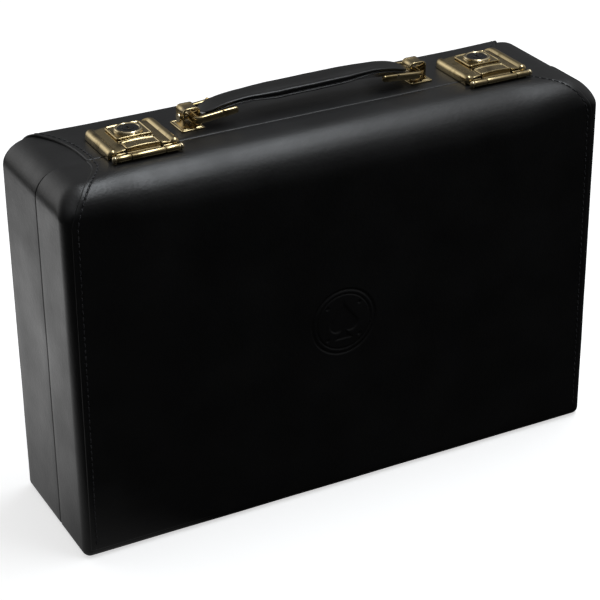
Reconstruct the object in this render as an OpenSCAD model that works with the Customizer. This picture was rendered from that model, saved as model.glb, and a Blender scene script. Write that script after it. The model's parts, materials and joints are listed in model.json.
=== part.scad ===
// Poker chip case: a leather-covered attache case in two halves, with brass latches and a carrying handle.
// It stands on its hinge side. The base half (+Y) carries the handle, the locks and the chip tray;
// the lid half (-Y) swings forward on a piano hinge set into the bottom edge.
// Origin: bottom centre. +X runs along the case, +Y towards the back, +Z up.

/* [Case] */
// Overall width
case_w = 400; // [380:1:420]
// Height of the leather body
case_h = 268; // [260:1:280]
// Depth of the lid half
lid_d = 45.5; // [44:0.5:50]
// Depth of the base half
base_d = 65; // [64:0.5:72]
// Corner radius at the top, seen from the front
corner_top_r = 19; // [17:0.5:22]
// Corner radius at the bottom, seen from the front
corner_bottom_r = 5.5; // [4:0.5:7]
// Rounding of the top front edge
brow_r = 28; // [25:0.5:30]
// Rounding of the top back edge
back_top_r = 12; // [11:0.5:14]
// Rounding of the upright edges and the bottom edges
edge_r = 7; // [6:0.5:8]

/* [Walls] */
// Thickness of the leather
skin_t = 1.5; // [1.2:0.1:1.8]
// Thickness of the wooden frame and panels
board_t = 7; // [6.5:0.5:8]
// Thickness of the velvet lining
lining_t = 1; // [0.8:0.1:1.2]
// Gap between the two halves when closed
rim_gap = 0.4; // [0.3:0.1:0.6]

/* [Latches] */
// Distance of each latch from the middle of the case
latch_x = 132.5; // [128:0.5:138]
// Offset of the pair of latches to the right
latch_shift = 5; // [0:0.5:6]
// Travel of the sliding button
button_travel = 5; // [4:0.5:5]

/* [Handle] */
// Half the distance between the outer ends of the two handle plates
handle_half = 95; // [94:0.5:98]
// Offset of the handle to the right
handle_shift = 2.5; // [0:0.5:4]
// Height of the handle pivots above the leather
pivot_rise = 7; // [7:0.25:7.5]
// Rise of the grip at mid-length above its pivots
grip_rise = 5.6; // [4.8:0.2:6.4]

/* [Chips] */
// Radius of a chip channel
chip_r = 20.3; // [19.8:0.1:20.5]
// Length of a stack in its channel
stack_len = 168; // [160:1:168]

/* [Hidden] */
$fn = 48;
eps = 0.01;
half_w = case_w / 2;
y_front = -(lid_d + base_d) / 2;
y_back = -y_front;
y_split = y_front + lid_d;
y_base_rim = y_split + rim_gap / 2;
y_lid_rim = y_split - rim_gap / 2;
wall_t = skin_t + board_t;
inner_t = wall_t + lining_t;
running = 0.05;

// Seam between the face sheets and the side band
seam_top_x = 165;
seam_side_x = 194.5;
seam_bend_z = 233;

// Panels let into the frames
panel_x = half_w - 14;
panel_z0 = 14;
panel_z1 = case_h - 32;

// Piano hinge
hinge_z = 2.4;
knuckle_r = 2.2;
hinge_pin_r = 1;
hinge_len = 378;
knuckles = 15;
notch_half = 3.5;
notch_top = 4.8;
leaf_t = 0.8;
leaf_top = 9.4;
hinge_screw_r = 0.9;
hinge_screw_z = 7;
hinge_screw_pitch = 42;
knuckle_pitch = hinge_len / knuckles;
knuckle_play = 0.1;
end_notch_half = 3.1;

// Lid stays
stay_r = 30;
stay_half = 12;
stay_z = hinge_z + sqrt(stay_r * stay_r - stay_half * stay_half);
stay_open_angle = 100;
stay_pin_r = 2.5;
stay_far = 2 * stay_r * sin(asin(stay_half / stay_r) + stay_open_angle / 2);
stay_t = 1.6;
stay_x = 185;
stay_head_t = 1;
stay_y0 = y_split - stay_half;
stay_slot_r = stay_pin_r + 0.15;
stay_end = 3.8;

// Dust lip
lip_t = 1.9;
lip_reach = 6;
lip_grip = 8;
lip_play = 0.5;
lip_low = 45;

// Latch, in its own frame: u outward from the latch centre, z from the leather
hasp_y = -24.25;
hasp_z = 2.8;
barrel_r = 2.2;
barrel_half = 21.7;
hasp_half = 11.3;
cover_y0 = -20.25;
cover_y1 = 24.75;
cover_half = 22;
roll_r = 3;
roll_z = 2.7;
crown_r = 134;
crown_z = 6.3;
cover_t = 1;
tab_y1 = -4.9;
tab_z = 6.5;
button_y0 = -3.5;
button_y1 = 18.7;
button_half = 12.25;
button_z = 6.6;
button_t = 1.5;
key_y = (button_y0 + button_y1) / 2;
bezel_r = 9.25;
cylinder_r = 7.15;
stem_r = 5;
plug_r = 3.6;
spring_coils = 5;
spring_u = 12;
spring_pitch = 1.7;
spring_y = -2.5;
spring_z = 2.3;
spring_r = 0.95;
spring_wire_r = 0.3;

// Handle
handle_y = 10.75;
handle_z = case_h + pivot_rise;
fork_out = handle_half - 8;
fork_in = 55;
fork_half = 12.5;
arm_t = 3;
arm_half_h = 2.2;
handle_pin_r = 2;
ear_x = 79.5;
ear_len = 12.5;
ear_t = 1.5;
ear_half = 6;
ear_top = 14.3;
plate_t = 1.2;
plate_in = 78;
plate_half = 10.2;
grip_half_len = 78.5;
grip_end_half_t = 3.1;
grip_mid_half_t = 3.6;
grip_end_half_w = 8;
grip_neck_half_w = 9.3;
grip_mid_half_w = 10.5;
grip_neck_x = 52;
grip_core_t = 4;
grip_core_w = 12;
rivet_x = 66;
rivet_r = 1;
fork_slope = 5;
fork_boss_r = 3.6;
rivet_z = handle_z + (fork_out - rivet_x) * tan(fork_slope) + 0.8;
handle_screw_x = 86;
handle_screw_dy = 8.3;
handle_screw_r = 1.2;

// Chip tray
tray_half = 182.5;
tray_z0 = 13;
tray_z1 = 255;
tray_y0 = y_split + 2.75;
tray_depth = 30;
chip_pitch = 44;
chip_z0 = 36;
tray_mid = 148;
bay_z0 = 153;
bay_z1 = 247;
bay_floor = 4;
card_w = 68;
bay_wall = 4;

// ---------- shared shapes ----------

// Points of an arc, from angle a0 to a1
function arc(cx, cy, r, a0, a1, steps = 10) =
    [for (i = [0:steps]) let (a = a0 + (a1 - a0) * i / steps) [cx + r * cos(a), cy + r * sin(a)]];

// Rectangle whose four corners have their own radii, counted anticlockwise from the low corner
module round_rect(x0, y0, x1, y1, r) {
    polygon(concat(
        arc(x0 + r[0], y0 + r[0], r[0], 180, 270), arc(x1 - r[1], y0 + r[1], r[1], 270, 360),
        arc(x1 - r[2], y1 - r[2], r[2], 0, 90), arc(x0 + r[3], y1 - r[3], r[3], 90, 180)));
}

module along_y(y0, y1) {
    translate([0, y1, 0]) rotate([90, 0, 0]) linear_extrude(y1 - y0) children();
}

module along_x(x0, x1) {
    translate([x0, 0, 0]) rotate([90, 0, 90]) linear_extrude(x1 - x0) children();
}

// Block given by its low and high corners
module block(low, high) {
    translate(low) cube([high[0] - low[0], high[1] - low[1], high[2] - low[2]]);
}

// Cylinder along X from x0 to x1
module rod_x(x0, x1, y, z, r) {
    translate([x0, y, z]) rotate([0, 90, 0]) cylinder(h = x1 - x0, r = r);
}

// Cylinder along Y from y0 to y1
module rod_y(y0, y1, x, z, r) {
    translate([x, y1, z]) rotate([90, 0, 0]) cylinder(h = y1 - y0, r = r);
}

// The whole closed case, moved inwards by inset
module case_solid(inset) {
    intersection() {
        along_y(y_front + inset, y_back - inset)
            round_rect(inset - half_w, inset, half_w - inset, case_h - inset,
                [max(corner_bottom_r - inset, 0.5), max(corner_bottom_r - inset, 0.5),
                 corner_top_r - inset, corner_top_r - inset]);
        along_x(inset - half_w, half_w - inset)
            round_rect(y_front + inset, inset, y_back - inset, case_h - inset,
                [max(edge_r - inset, 0.5), max(edge_r - inset, 0.5), back_top_r - inset, brow_r - inset]);
        translate([0, 0, inset]) linear_extrude(case_h - 2 * inset)
            round_rect(inset - half_w, y_front + inset, half_w - inset, y_back - inset,
                [for (i = [0:3]) max(edge_r - inset, 0.5)]);
    }
}

module lid_zone() block([-half_w - 1, y_front - 1, -1], [half_w + 1, y_lid_rim, case_h + 1]);
module base_zone() block([-half_w - 1, y_base_rim, -1], [half_w + 1, y_back + 1, case_h + 1]);

// Recess along the bottom of the split for the piano hinge, shallower past its two ends
module hinge_notch() {
    block([-half_w - 1, y_split - end_notch_half, -1], [half_w + 1, y_split + end_notch_half, hinge_z + 0.6]);
    block([-hinge_len / 2 - 0.5, y_split - notch_half, -1],
        [hinge_len / 2 + 0.5, y_split + notch_half, notch_top]);
    block([-hinge_len / 2 - 0.5, y_split - rim_gap / 2 - leaf_t, -1],
        [hinge_len / 2 + 0.5, y_split + rim_gap / 2 + leaf_t, leaf_top]);
}

// Part of the leather that belongs to the face sheets: the top and the big face, inside the seam
module face_zone() {
    along_y(y_front - 1, y_back + 1)
        polygon([[-seam_side_x, corner_bottom_r], [seam_side_x, corner_bottom_r], [seam_side_x, seam_bend_z],
            [seam_side_x - 6, seam_bend_z + 18], [seam_top_x + 12, case_h - 5], [seam_top_x, case_h - skin_t],
            [seam_top_x, case_h + 1], [-seam_top_x, case_h + 1], [-seam_top_x, case_h - skin_t],
            [-seam_top_x - 12, case_h - 5], [6 - seam_side_x, seam_bend_z + 18],
            [-seam_side_x, seam_bend_z]]);
}

// The face sheets stop at the band on the big ends, so only the top and the faces are theirs
module face_sheet_zone(face_y0, face_y1) {
    intersection() {
        face_zone();
        union() {
            block([-half_w, face_y0, 0], [half_w, face_y1, case_h + 1]);
            block([-half_w, y_front - 1, case_h - brow_r], [half_w, y_back + 1, case_h + 1]);
        }
    }
}

module skin(inner_inset) {
    difference() {
        case_solid(0);
        case_solid(inner_inset);
    }
}

module mirrored_at(side) {
    if (side < 0) mirror([1, 0, 0]) children();
    else children();
}

// Places a latch piece, modelled for the right-hand latch
module at_latch(side) {
    translate([latch_shift, 0, 0]) mirrored_at(side) translate([latch_x, 0, case_h]) children();
}

// Places a handle fitting, modelled for the right-hand end
module at_handle(side) {
    translate([handle_shift, 0, 0]) mirrored_at(side) children();
}

module at_both() {
    for (side = [-1, 1]) mirrored_at(side) children();
}

// ---------- fixing holes ----------

module hinge_screw_set(y0, y1) {
    for (i = [-4:4]) rod_y(y0, y1, i * hinge_screw_pitch, hinge_screw_z, hinge_screw_r);
}

module latch_screw_shanks() {
    for (side = [-1, 1], u = [-16, 16]) at_latch(side) translate([u, 20, -7]) cylinder(h = 8, r = 1.3);
}

module hasp_screw_shanks() {
    for (side = [-1, 1], u = [-16, 16]) at_latch(side) translate([u, -15, -7]) cylinder(h = 8, r = 1.3);
}

module handle_screw_shanks() {
    for (side = [-1, 1], dy = [-handle_screw_dy, handle_screw_dy]) at_handle(side)
        translate([handle_screw_x, handle_y + dy, case_h - 7.5]) cylinder(h = 9, r = handle_screw_r);
}

module stay_shanks(y) {
    at_both() rod_x(half_w - inner_t - 1, half_w - skin_t - 2, y, stay_z, 1.5);
}

// ---------- case halves ----------

module frame_ring() {
    difference() {
        case_solid(skin_t);
        case_solid(wall_t);
        block([-panel_x, y_front - 1, panel_z0], [panel_x, y_back + 1, panel_z1]);
        hinge_notch();
    }
}

module base_frame() color("burlywood") difference() {
    intersection() {
        frame_ring();
        base_zone();
    }
    hinge_screw_set(y_base_rim, y_base_rim + 8);
    latch_screw_shanks();
    handle_screw_shanks();
    stay_shanks(y_split + stay_half);
}

module lid_frame() color("burlywood") difference() {
    intersection() {
        frame_ring();
        lid_zone();
    }
    hinge_screw_set(y_lid_rim - 8, y_lid_rim);
    hasp_screw_shanks();
    stay_shanks(y_split - stay_half);
}

module base_panel() color("tan")
    block([-panel_x, y_back - wall_t, panel_z0], [panel_x, y_back - skin_t, panel_z1]);

module lid_panel() color("tan")
    block([-panel_x, y_front + skin_t, panel_z0], [panel_x, y_front + wall_t, panel_z1]);

module base_face_leather() color([0.06, 0.06, 0.065]) difference() {
    intersection() {
        skin(skin_t);
        base_zone();
        face_sheet_zone(y_back - edge_r, y_back + 1);
    }
    latch_screw_shanks();
    handle_screw_shanks();
}

module base_side_leather() color([0.09, 0.09, 0.095]) difference() {
    intersection() {
        skin(skin_t);
        base_zone();
    }
    face_sheet_zone(y_back - edge_r, y_back + 1);
    hinge_notch();
}

module lid_face_leather() color([0.06, 0.06, 0.065]) difference() {
    intersection() {
        skin(skin_t);
        lid_zone();
        face_sheet_zone(y_front - 1, y_front + edge_r);
    }
    hasp_screw_shanks();
}

module lid_side_leather() color([0.09, 0.09, 0.095]) difference() {
    intersection() {
        skin(skin_t);
        lid_zone();
    }
    face_sheet_zone(y_front - 1, y_front + edge_r);
    hinge_notch();
}

module lining_shell() {
    difference() {
        case_solid(wall_t);
        case_solid(inner_t);
        hinge_notch();
    }
}

module base_lining() color([0.2, 0.2, 0.21]) difference() {
    intersection() {
        lining_shell();
        base_zone();
    }
    stay_shanks(y_split + stay_half);
}

module lid_lining() color([0.2, 0.2, 0.21]) difference() {
    intersection() {
        lining_shell();
        lid_zone();
    }
    stay_shanks(y_split - stay_half);
}

// Lip fixed inside the base on three sides; it reaches into the lid and keeps dust out
module lip_ring(y0, y1, inset) {
    difference() {
        along_y(y0, y1) lip_outline(inset);
        along_y(y0 - 1, y1 + 1) lip_outline(inner_t + lip_t);
        block([-half_w, y0 - 1, -1], [half_w, y1 + 1, lip_low]);
    }
}

module lip_outline(inset) {
    round_rect(inset - half_w, inset, half_w - inset, case_h - inset,
        [1, 1, corner_top_r - inset, corner_top_r - inset]);
}

module dust_lip() color("gold") union() {
    lip_ring(y_split - lip_reach, y_base_rim, inner_t + lip_play);
    lip_ring(y_base_rim, y_base_rim + lip_grip, inner_t);
}

module lid_pad() color([0.15, 0.15, 0.16])
    along_y(y_front + inner_t, y_front + inner_t + 6)
        round_rect(-178, 30, 178, 238, [10, 10, 10, 10]);

// ---------- chip tray ----------

module chip_channels() {
    for (side = [-1, 1], row = [0:2])
        rod_x(side < 0 ? -stack_len - 4 : 4, side < 0 ? -4 : stack_len + 4,
            tray_y0, chip_z0 + row * chip_pitch, chip_r);
}

// Four upright card bays and a dice bay in the middle
function bay_edge(i) = (i - 2.5) * (card_w + bay_wall) + bay_wall / 2;

module bays() {
    for (i = [0:4])
        along_y(tray_y0 - 1, tray_y0 + tray_depth - bay_floor) translate([bay_edge(i), 0])
            round_rect(0, bay_z0, card_w, bay_z1, [3, 3, 3, 3]);
}

// Lower part of the tray, with the chip channels
module chip_tray() color([0.18, 0.18, 0.19]) difference() {
    along_y(tray_y0, tray_y0 + tray_depth)
        round_rect(-tray_half, tray_z0, tray_half, tray_mid, [4, 4, 0.5, 0.5]);
    chip_channels();
}

// Upper part of the tray, with the card and dice bays
module card_tray() color([0.18, 0.18, 0.19]) difference() {
    along_y(tray_y0, tray_y0 + tray_depth)
        round_rect(-tray_half, tray_mid, tray_half, tray_z1, [0.5, 0.5, 10, 10]);
    bays();
}

module tray_bearers() color("tan")
    at_both() block([160, tray_y0 + tray_depth, 45], [172, y_back - inner_t, 235]);

// ---------- piano hinge ----------

// One leaf: every second knuckle, each with its strip up to the leaf
module hinge_leaf(first, dir) {
    y_face = y_split + dir * rim_gap / 2;
    y_deep = y_face + dir * leaf_t;
    low = min(y_face, y_deep);
    high = max(y_face, y_deep);
    difference() {
        union() {
            block([-hinge_len / 2, low, notch_top], [hinge_len / 2, high, leaf_top]);
            for (i = [first:2:knuckles - 1]) {
                x0 = -hinge_len / 2 + i * knuckle_pitch + knuckle_play;
                x1 = x0 + knuckle_pitch - 2 * knuckle_play;
                rod_x(x0, x1, y_split, hinge_z, knuckle_r);
                block([x0, low, hinge_z], [x1, high, notch_top + eps]);
            }
        }
        rod_x(-half_w, half_w, y_split, hinge_z, hinge_pin_r + running);
        hinge_screw_set(y_split - 10, y_split + 10);
    }
}

module hinge_leaf_base() color("gold") hinge_leaf(0, 1);
module hinge_leaf_lid() color("gold") hinge_leaf(1, -1);
module hinge_pin() color("silver")
    rod_x(-hinge_len / 2 + 0.2, hinge_len / 2 - 0.2, y_split, hinge_z, hinge_pin_r);
module hinge_screws_base() color("gold") hinge_screw_set(y_base_rim, y_base_rim + 8);
module hinge_screws_lid() color("gold") hinge_screw_set(y_lid_rim - 8, y_lid_rim);

// ---------- lid stays ----------

// Slotted arm: its round end turns on the lid, its slot slides on the base stud
module stay_arm() {
    difference() {
        union() {
            block([stay_x, stay_y0, stay_z - stay_end],
                [stay_x + stay_t, stay_y0 + stay_far, stay_z + stay_end]);
            rod_x(stay_x, stay_x + stay_t, stay_y0, stay_z, stay_end);
            rod_x(stay_x, stay_x + stay_t, stay_y0 + stay_far, stay_z, stay_end);
        }
        rod_x(stay_x - 1, stay_x + stay_t + 1, stay_y0, stay_z, stay_pin_r + running);
        block([stay_x - 1, stay_y0 + 2 * stay_half - 0.5, stay_z - stay_slot_r],
            [stay_x + stay_t + 1, stay_y0 + stay_far, stay_z + stay_slot_r]);
        rod_x(stay_x - 1, stay_x + stay_t + 1, stay_y0 + 2 * stay_half - 0.5, stay_z, stay_slot_r);
        rod_x(stay_x - 1, stay_x + stay_t + 1, stay_y0 + stay_far, stay_z, stay_slot_r);
    }
}

// Shouldered stud: shank in the wall, journal for the arm, head inside
module stay_stud_at(y) {
    rod_x(half_w - inner_t - 1, half_w - skin_t - 2, y, stay_z, 1.5);
    rod_x(stay_x + stay_t + 0.2, half_w - inner_t, y, stay_z, 4);
    rod_x(stay_x - 0.2, stay_x + stay_t + 0.2, y, stay_z, stay_pin_r);
    rod_x(stay_x - 0.2 - stay_head_t, stay_x - 0.2, y, stay_z, 4);
}

module stay_arm_left() color("gold") mirrored_at(-1) stay_arm();
module stay_arm_right() color("gold") stay_arm();
module stay_stud_left() color("gold") mirrored_at(-1) stay_stud_at(y_split + stay_half);
module stay_stud_right() color("gold") stay_stud_at(y_split + stay_half);
module stay_pivot_left() color("gold") mirrored_at(-1) stay_stud_at(stay_y0);
module stay_pivot_right() color("gold") stay_stud_at(stay_y0);

// ---------- latches ----------

// Outline of the cover across the case: a crowned sheet between two rolled cheeks
module cover_outline(inset) {
    intersection() {
        translate([0, crown_z - crown_r]) circle(r = crown_r - inset, $fn = 360);
        translate([-cover_half, -2]) square([2 * cover_half, 12]);
    }
    for (u = [-cover_half, cover_half]) translate([u, roll_z]) circle(r = roll_r - inset);
}

module lock_cover(side) at_latch(side) difference() {
    along_y(cover_y0, cover_y1) intersection() {
        cover_outline(0);
        translate([-40, 0.3]) square([80, 12]);
    }
    along_y(cover_y0 - 1, cover_y1 - cover_t) {
        cover_outline(cover_t);
        translate([-cover_half, -1]) square([2 * cover_half, roll_z + 1]);
    }
    block([-hasp_half - 1, cover_y0 - 1, 0], [hasp_half + 1, tab_y1 + 0.3, 12]);
    block([-stem_r - 0.3, key_y - stem_r - 0.3, 0], [stem_r + 0.4 + button_travel, key_y + stem_r + 0.3, 12]);
    block([5.7, -2.6, 0], [9.4 + button_travel, 1.9, 12]);
}

module lock_plate(side) at_latch(side) difference() {
    union() {
        block([-21, y_base_rim, 0], [21, cover_y1 - cover_t, 0.9]);
        block([spring_u + spring_coils * spring_pitch, spring_y - 1.6, 0.5], [21, spring_y + 1.6, 3.5]);
    }
    for (u = [-16, 16]) translate([u, 20, -1]) cylinder(h = 3, r = 1.3);
}

module slide_button(side) at_latch(side) difference() {
    union() {
        block([-button_half, button_y0, button_z], [button_half, button_y1, button_z + 0.7]);
        block([-button_half + 0.8, button_y0 + 0.8, button_z],
            [button_half - 0.8, button_y1 - 0.8, button_z + button_t]);
        block([6, -2.3, 4.4], [9, 1.6, button_z + eps]);
    }
    translate([0, key_y, 0]) cylinder(h = 12, r = stem_r);
}

// Bolt carried by the button; its tip stands just short of the hook
module latch_bolt(side) at_latch(side) union() {
    block([0.5, -8.4, 2.2], [12, -6.2, 4.2]);
    block([3, -6.3, 3.2], [12, 1.6, 4.2]);
    block([6, -2.3, 3.2], [9, 1.6, 4.4]);
}

module key_bezel(side) at_latch(side) translate([0, key_y, button_z + button_t])
    rotate_extrude() polygon([[cylinder_r, 0], [bezel_r, 0], [bezel_r, 0.35], [bezel_r - 0.7, 0.95],
        [cylinder_r + 0.5, 0.95], [cylinder_r, 0.6]]);

module key_cylinder(side) at_latch(side) translate([0, key_y, 0]) difference() {
    union() {
        translate([0, 0, button_z + button_t]) cylinder(h = 0.55, r = cylinder_r);
        translate([0, 0, 3]) cylinder(h = button_z + button_t - 3 + eps, r = stem_r);
    }
    translate([0, 0, 2]) cylinder(h = 10, r = plug_r + running);
}

// Turning plug with its keyway and the cam under it
module key_plug(side) at_latch(side) translate([0, key_y, 0]) difference() {
    union() {
        translate([0, 0, 2.9]) cylinder(h = 5.9, r = plug_r);
        block([-1.3, -1.3, 1.9], [6, 1.3, 2.9 + eps]);
    }
    block([-0.5, -2.2, 5.5], [0.5, 2.2, 10]);
}

// Coil spring that returns the button, between its carrier and a post on the lock plate
module button_spring(side) at_latch(side) translate([spring_u + 0.6, spring_y, spring_z]) rotate([0, 90, 0])
    coil(spring_coils * spring_pitch - 0.9, spring_r, spring_wire_r, spring_coils);

// Round wire wound on a helix about Z
module coil(height, coil_r, wire_r, turns, per_turn = 12, sides = 6) {
    steps = turns * per_turn;
    points = [for (i = [0:steps], j = [0:sides - 1])
        let (a = 360 * i / per_turn, b = 360 * j / sides, r = coil_r + wire_r * cos(b))
        [r * cos(a), r * sin(a), height * i / steps + wire_r * sin(b)]];
    walls = [for (i = [0:steps - 1], j = [0:sides - 1])
        let (k = (j + 1) % sides) [i * sides + j, i * sides + k, (i + 1) * sides + k, (i + 1) * sides + j]];
    first = [for (j = [sides - 1:-1:0]) j];
    last = [for (j = [0:sides - 1]) steps * sides + j];
    polyhedron(points, concat(walls, [first, last]));
}

module hasp(side) at_latch(side) difference() {
    union() {
        rod_x(-hasp_half, hasp_half, hasp_y, hasp_z, barrel_r);
        intersection() {
            along_x(-20, 20) polygon([[hasp_y - 0.7, 4.75], [-20.7, tab_z], [tab_y1, tab_z],
                [tab_y1, tab_z - 1.1], [-20.2, tab_z - 1.1], [hasp_y + 1.5, 4.0], [hasp_y, 4.4]]);
            linear_extrude(10) polygon([[-hasp_half, hasp_y - 3], [hasp_half, hasp_y - 3],
                [hasp_half, hasp_y + 2.8], [hasp_half + 0.6, cover_y0 + 1], [hasp_half - 0.4, tab_y1 + 1],
                [0.4 - hasp_half, tab_y1 + 1], [-hasp_half - 0.6, cover_y0 + 1], [-hasp_half, hasp_y + 2.8]]);
        }
        block([-1.6, -9.4, 1.2], [0, -5.5, tab_z - 1]);
    }
    rod_x(-20, 20, hasp_y, hasp_z, hinge_pin_r + running);
    block([-3, -8.7, 1.9], [1, -5.9, 4.5]);
}

module hasp_plate(side) at_latch(side) difference() {
    union() {
        block([-barrel_half, hasp_y - 2.8, 0], [barrel_half, y_lid_rim, 0.8]);
        for (u = [-1, 1]) {
            low = min(u * barrel_half, u * (hasp_half + 0.2));
            high = max(u * barrel_half, u * (hasp_half + 0.2));
            rod_x(low, high, hasp_y, hasp_z, barrel_r);
            block([low, hasp_y - 1.6, 0], [high, hasp_y + 1.6, hasp_z]);
        }
    }
    block([-hasp_half - 0.2, hasp_y - 2.4, 0.5], [hasp_half + 0.2, hasp_y + 2.4, 2]);
    rod_x(-30, 30, hasp_y, hasp_z, hinge_pin_r + running);
    for (u = [-16, 16]) translate([u, -15, -1]) cylinder(h = 3, r = 1.3);
}

module hasp_pin(side) at_latch(side) union() {
    rod_x(-barrel_half - 0.9, barrel_half + 0.9, hasp_y, hasp_z, hinge_pin_r);
    rod_x(-barrel_half - 1.5, -barrel_half, hasp_y, hasp_z, 1.8);
    rod_x(barrel_half, barrel_half + 1.5, hasp_y, hasp_z, 1.8);
}

module latch_screws() color("gold") union() {
    latch_screw_shanks();
    for (side = [-1, 1], u = [-16, 16]) at_latch(side) translate([u, 20, 0.9]) cylinder(h = 0.9, r = 2.4);
}

module hasp_plate_screws() color("gold") union() {
    hasp_screw_shanks();
    for (side = [-1, 1], u = [-16, 16]) at_latch(side) translate([u, -15, 0.8]) cylinder(h = 0.8, r = 2.4);
}

module lock_plate_left() color("gold") lock_plate(-1);
module lock_plate_right() color("gold") lock_plate(1);
module lock_cover_left() color("gold") lock_cover(-1);
module lock_cover_right() color("gold") lock_cover(1);
module slide_button_left() color("goldenrod") slide_button(-1);
module slide_button_right() color("goldenrod") slide_button(1);
module latch_bolt_left() color("silver") latch_bolt(-1);
module latch_bolt_right() color("silver") latch_bolt(1);
module button_spring_left() color("silver") button_spring(-1);
module button_spring_right() color("silver") button_spring(1);
module key_bezel_left() color("khaki") key_bezel(-1);
module key_bezel_right() color("khaki") key_bezel(1);
module key_cylinder_left() color([0.05, 0.05, 0.05]) key_cylinder(-1);
module key_cylinder_right() color([0.05, 0.05, 0.05]) key_cylinder(1);
module key_plug_left() color([0.12, 0.12, 0.12]) key_plug(-1);
module key_plug_right() color([0.12, 0.12, 0.12]) key_plug(1);
module hasp_left() color("gold") hasp(-1);
module hasp_right() color("gold") hasp(1);
module hasp_plate_left() color("goldenrod") hasp_plate(-1);
module hasp_plate_right() color("goldenrod") hasp_plate(1);
module hasp_pin_left() color("khaki") hasp_pin(-1);
module hasp_pin_right() color("khaki") hasp_pin(1);

// ---------- handle ----------

// Base plate with a bridge that the fork's cross bar passes through
module handle_plate() {
    difference() {
        union() {
            block([plate_in, handle_y - plate_half, case_h],
                [handle_half, handle_y + plate_half, case_h + plate_t]);
            block([ear_x, handle_y - ear_half, case_h],
                [ear_x + ear_len, handle_y + ear_half, case_h + ear_top]);
        }
        block([ear_x + ear_t, handle_y - ear_half - 1, case_h + plate_t],
            [ear_x + ear_len - ear_t, handle_y + ear_half + 1, case_h + ear_top - ear_t]);
        rod_x(ear_x - 1, ear_x + ear_len + 1, handle_y, handle_z, handle_pin_r + running);
        for (dy = [-handle_screw_dy, handle_screw_dy])
            translate([handle_screw_x, handle_y + dy, case_h - 1]) cylinder(h = 4, r = handle_screw_r);
    }
}

// Rectangular fork around the end of the grip, open towards the middle
module handle_fork() {
    difference() {
        union() {
            difference() {
                at_fork_slope()
                    block([fork_in - fork_out, -fork_half, -arm_half_h], [0, fork_half, arm_half_h]);
                at_fork_slope() block([fork_in - fork_out - 1, arm_t - fork_half, -5],
                    [-arm_t, fork_half - arm_t, 5]);
            }
            rod_x(fork_out - arm_t, fork_out, handle_y, handle_z, fork_boss_r);
        }
        rod_x(fork_out - arm_t - 1, fork_out + 1, handle_y, handle_z, handle_pin_r);
        rod_y(handle_y - 20, handle_y + 20, rivet_x, rivet_z, rivet_r);
    }
}

// The fork lies along the rising end of the grip
module at_fork_slope() translate([fork_out, handle_y, handle_z]) rotate([0, fork_slope, 0]) children();

module handle_pivot() {
    rod_x(ear_x - 0.4, ear_x + ear_len + 0.2, handle_y, handle_z, handle_pin_r);
    rod_x(ear_x + ear_len + 0.2, ear_x + ear_len + 1.4, handle_y, handle_z, 3);
}

// Side outline of the grip: flat-topped, dropping quickly towards its ends
module grip_side(end_t, mid_t) {
    function lift(i) = 1 - pow(abs(i - 12) / 12, 4);
    function along(i) = grip_half_len * (1 - i / 12);
    polygon(concat(
        [for (i = [0:24]) [along(i), handle_z + end_t + (grip_rise + mid_t - end_t) * lift(i)]],
        [for (i = [24:-1:0]) [along(i), handle_z - end_t + (grip_rise - mid_t + end_t) * lift(i)]]));
}

// Half width of the grip along its length: narrow between the fork arms, wider in the middle
function grip_half_w(x) = abs(x) < grip_neck_x
    ? grip_mid_half_w - (grip_mid_half_w - grip_neck_half_w) * pow(x / grip_neck_x, 2)
    : grip_neck_half_w
        - (grip_neck_half_w - grip_end_half_w) * (abs(x) - grip_neck_x) / (grip_half_len - grip_neck_x);

module grip_plan() {
    xs = [-grip_half_len, for (i = [-8:8]) i * grip_neck_x / 8, grip_half_len];
    polygon(concat(
        [for (x = xs) [x, handle_y - grip_half_w(x)]],
        [for (i = [len(xs) - 1:-1:0]) [xs[i], handle_y + grip_half_w(xs[i])]]));
}

module core_shape() {
    along_y(handle_y - grip_core_w / 2, handle_y + grip_core_w / 2)
        grip_side(grip_core_t / 2, grip_core_t / 2);
}

module grip_rivet_holes() {
    for (side = [-1, 1]) at_handle(side) rod_y(handle_y - 20, handle_y + 20, rivet_x, rivet_z, rivet_r);
}

module handle_core() color("silver") difference() {
    at_handle(1) core_shape();
    grip_rivet_holes();
}

module handle_leather() color([0.07, 0.07, 0.075]) difference() {
    at_handle(1) difference() {
        intersection() {
            along_y(handle_y - 20, handle_y + 20) grip_side(grip_end_half_t, grip_mid_half_t);
            translate([0, 0, case_h]) linear_extrude(40) grip_plan();
        }
        core_shape();
    }
    grip_rivet_holes();
}

module handle_plate_left() color("gold") at_handle(-1) handle_plate();
module handle_plate_right() color("gold") at_handle(1) handle_plate();
module handle_fork_left() color("gold") at_handle(-1) handle_fork();
module handle_fork_right() color("gold") at_handle(1) handle_fork();
module handle_pivot_left() color("khaki") at_handle(-1) handle_pivot();
module handle_pivot_right() color("khaki") at_handle(1) handle_pivot();
module handle_rivets() color("khaki") for (side = [-1, 1]) at_handle(side) {
    rod_y(handle_y - fork_half, handle_y + fork_half, rivet_x, rivet_z, rivet_r);
    rod_y(handle_y - fork_half - 0.8, handle_y - fork_half, rivet_x, rivet_z, 1.6);
    rod_y(handle_y + fork_half, handle_y + fork_half + 0.8, rivet_x, rivet_z, 1.6);
}

module handle_screws() color("khaki") union() {
    handle_screw_shanks();
    for (side = [-1, 1], dy = [-handle_screw_dy, handle_screw_dy]) at_handle(side)
        translate([handle_screw_x, handle_y + dy, case_h + plate_t]) cylinder(h = 0.5, r = 1.7);
}

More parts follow.
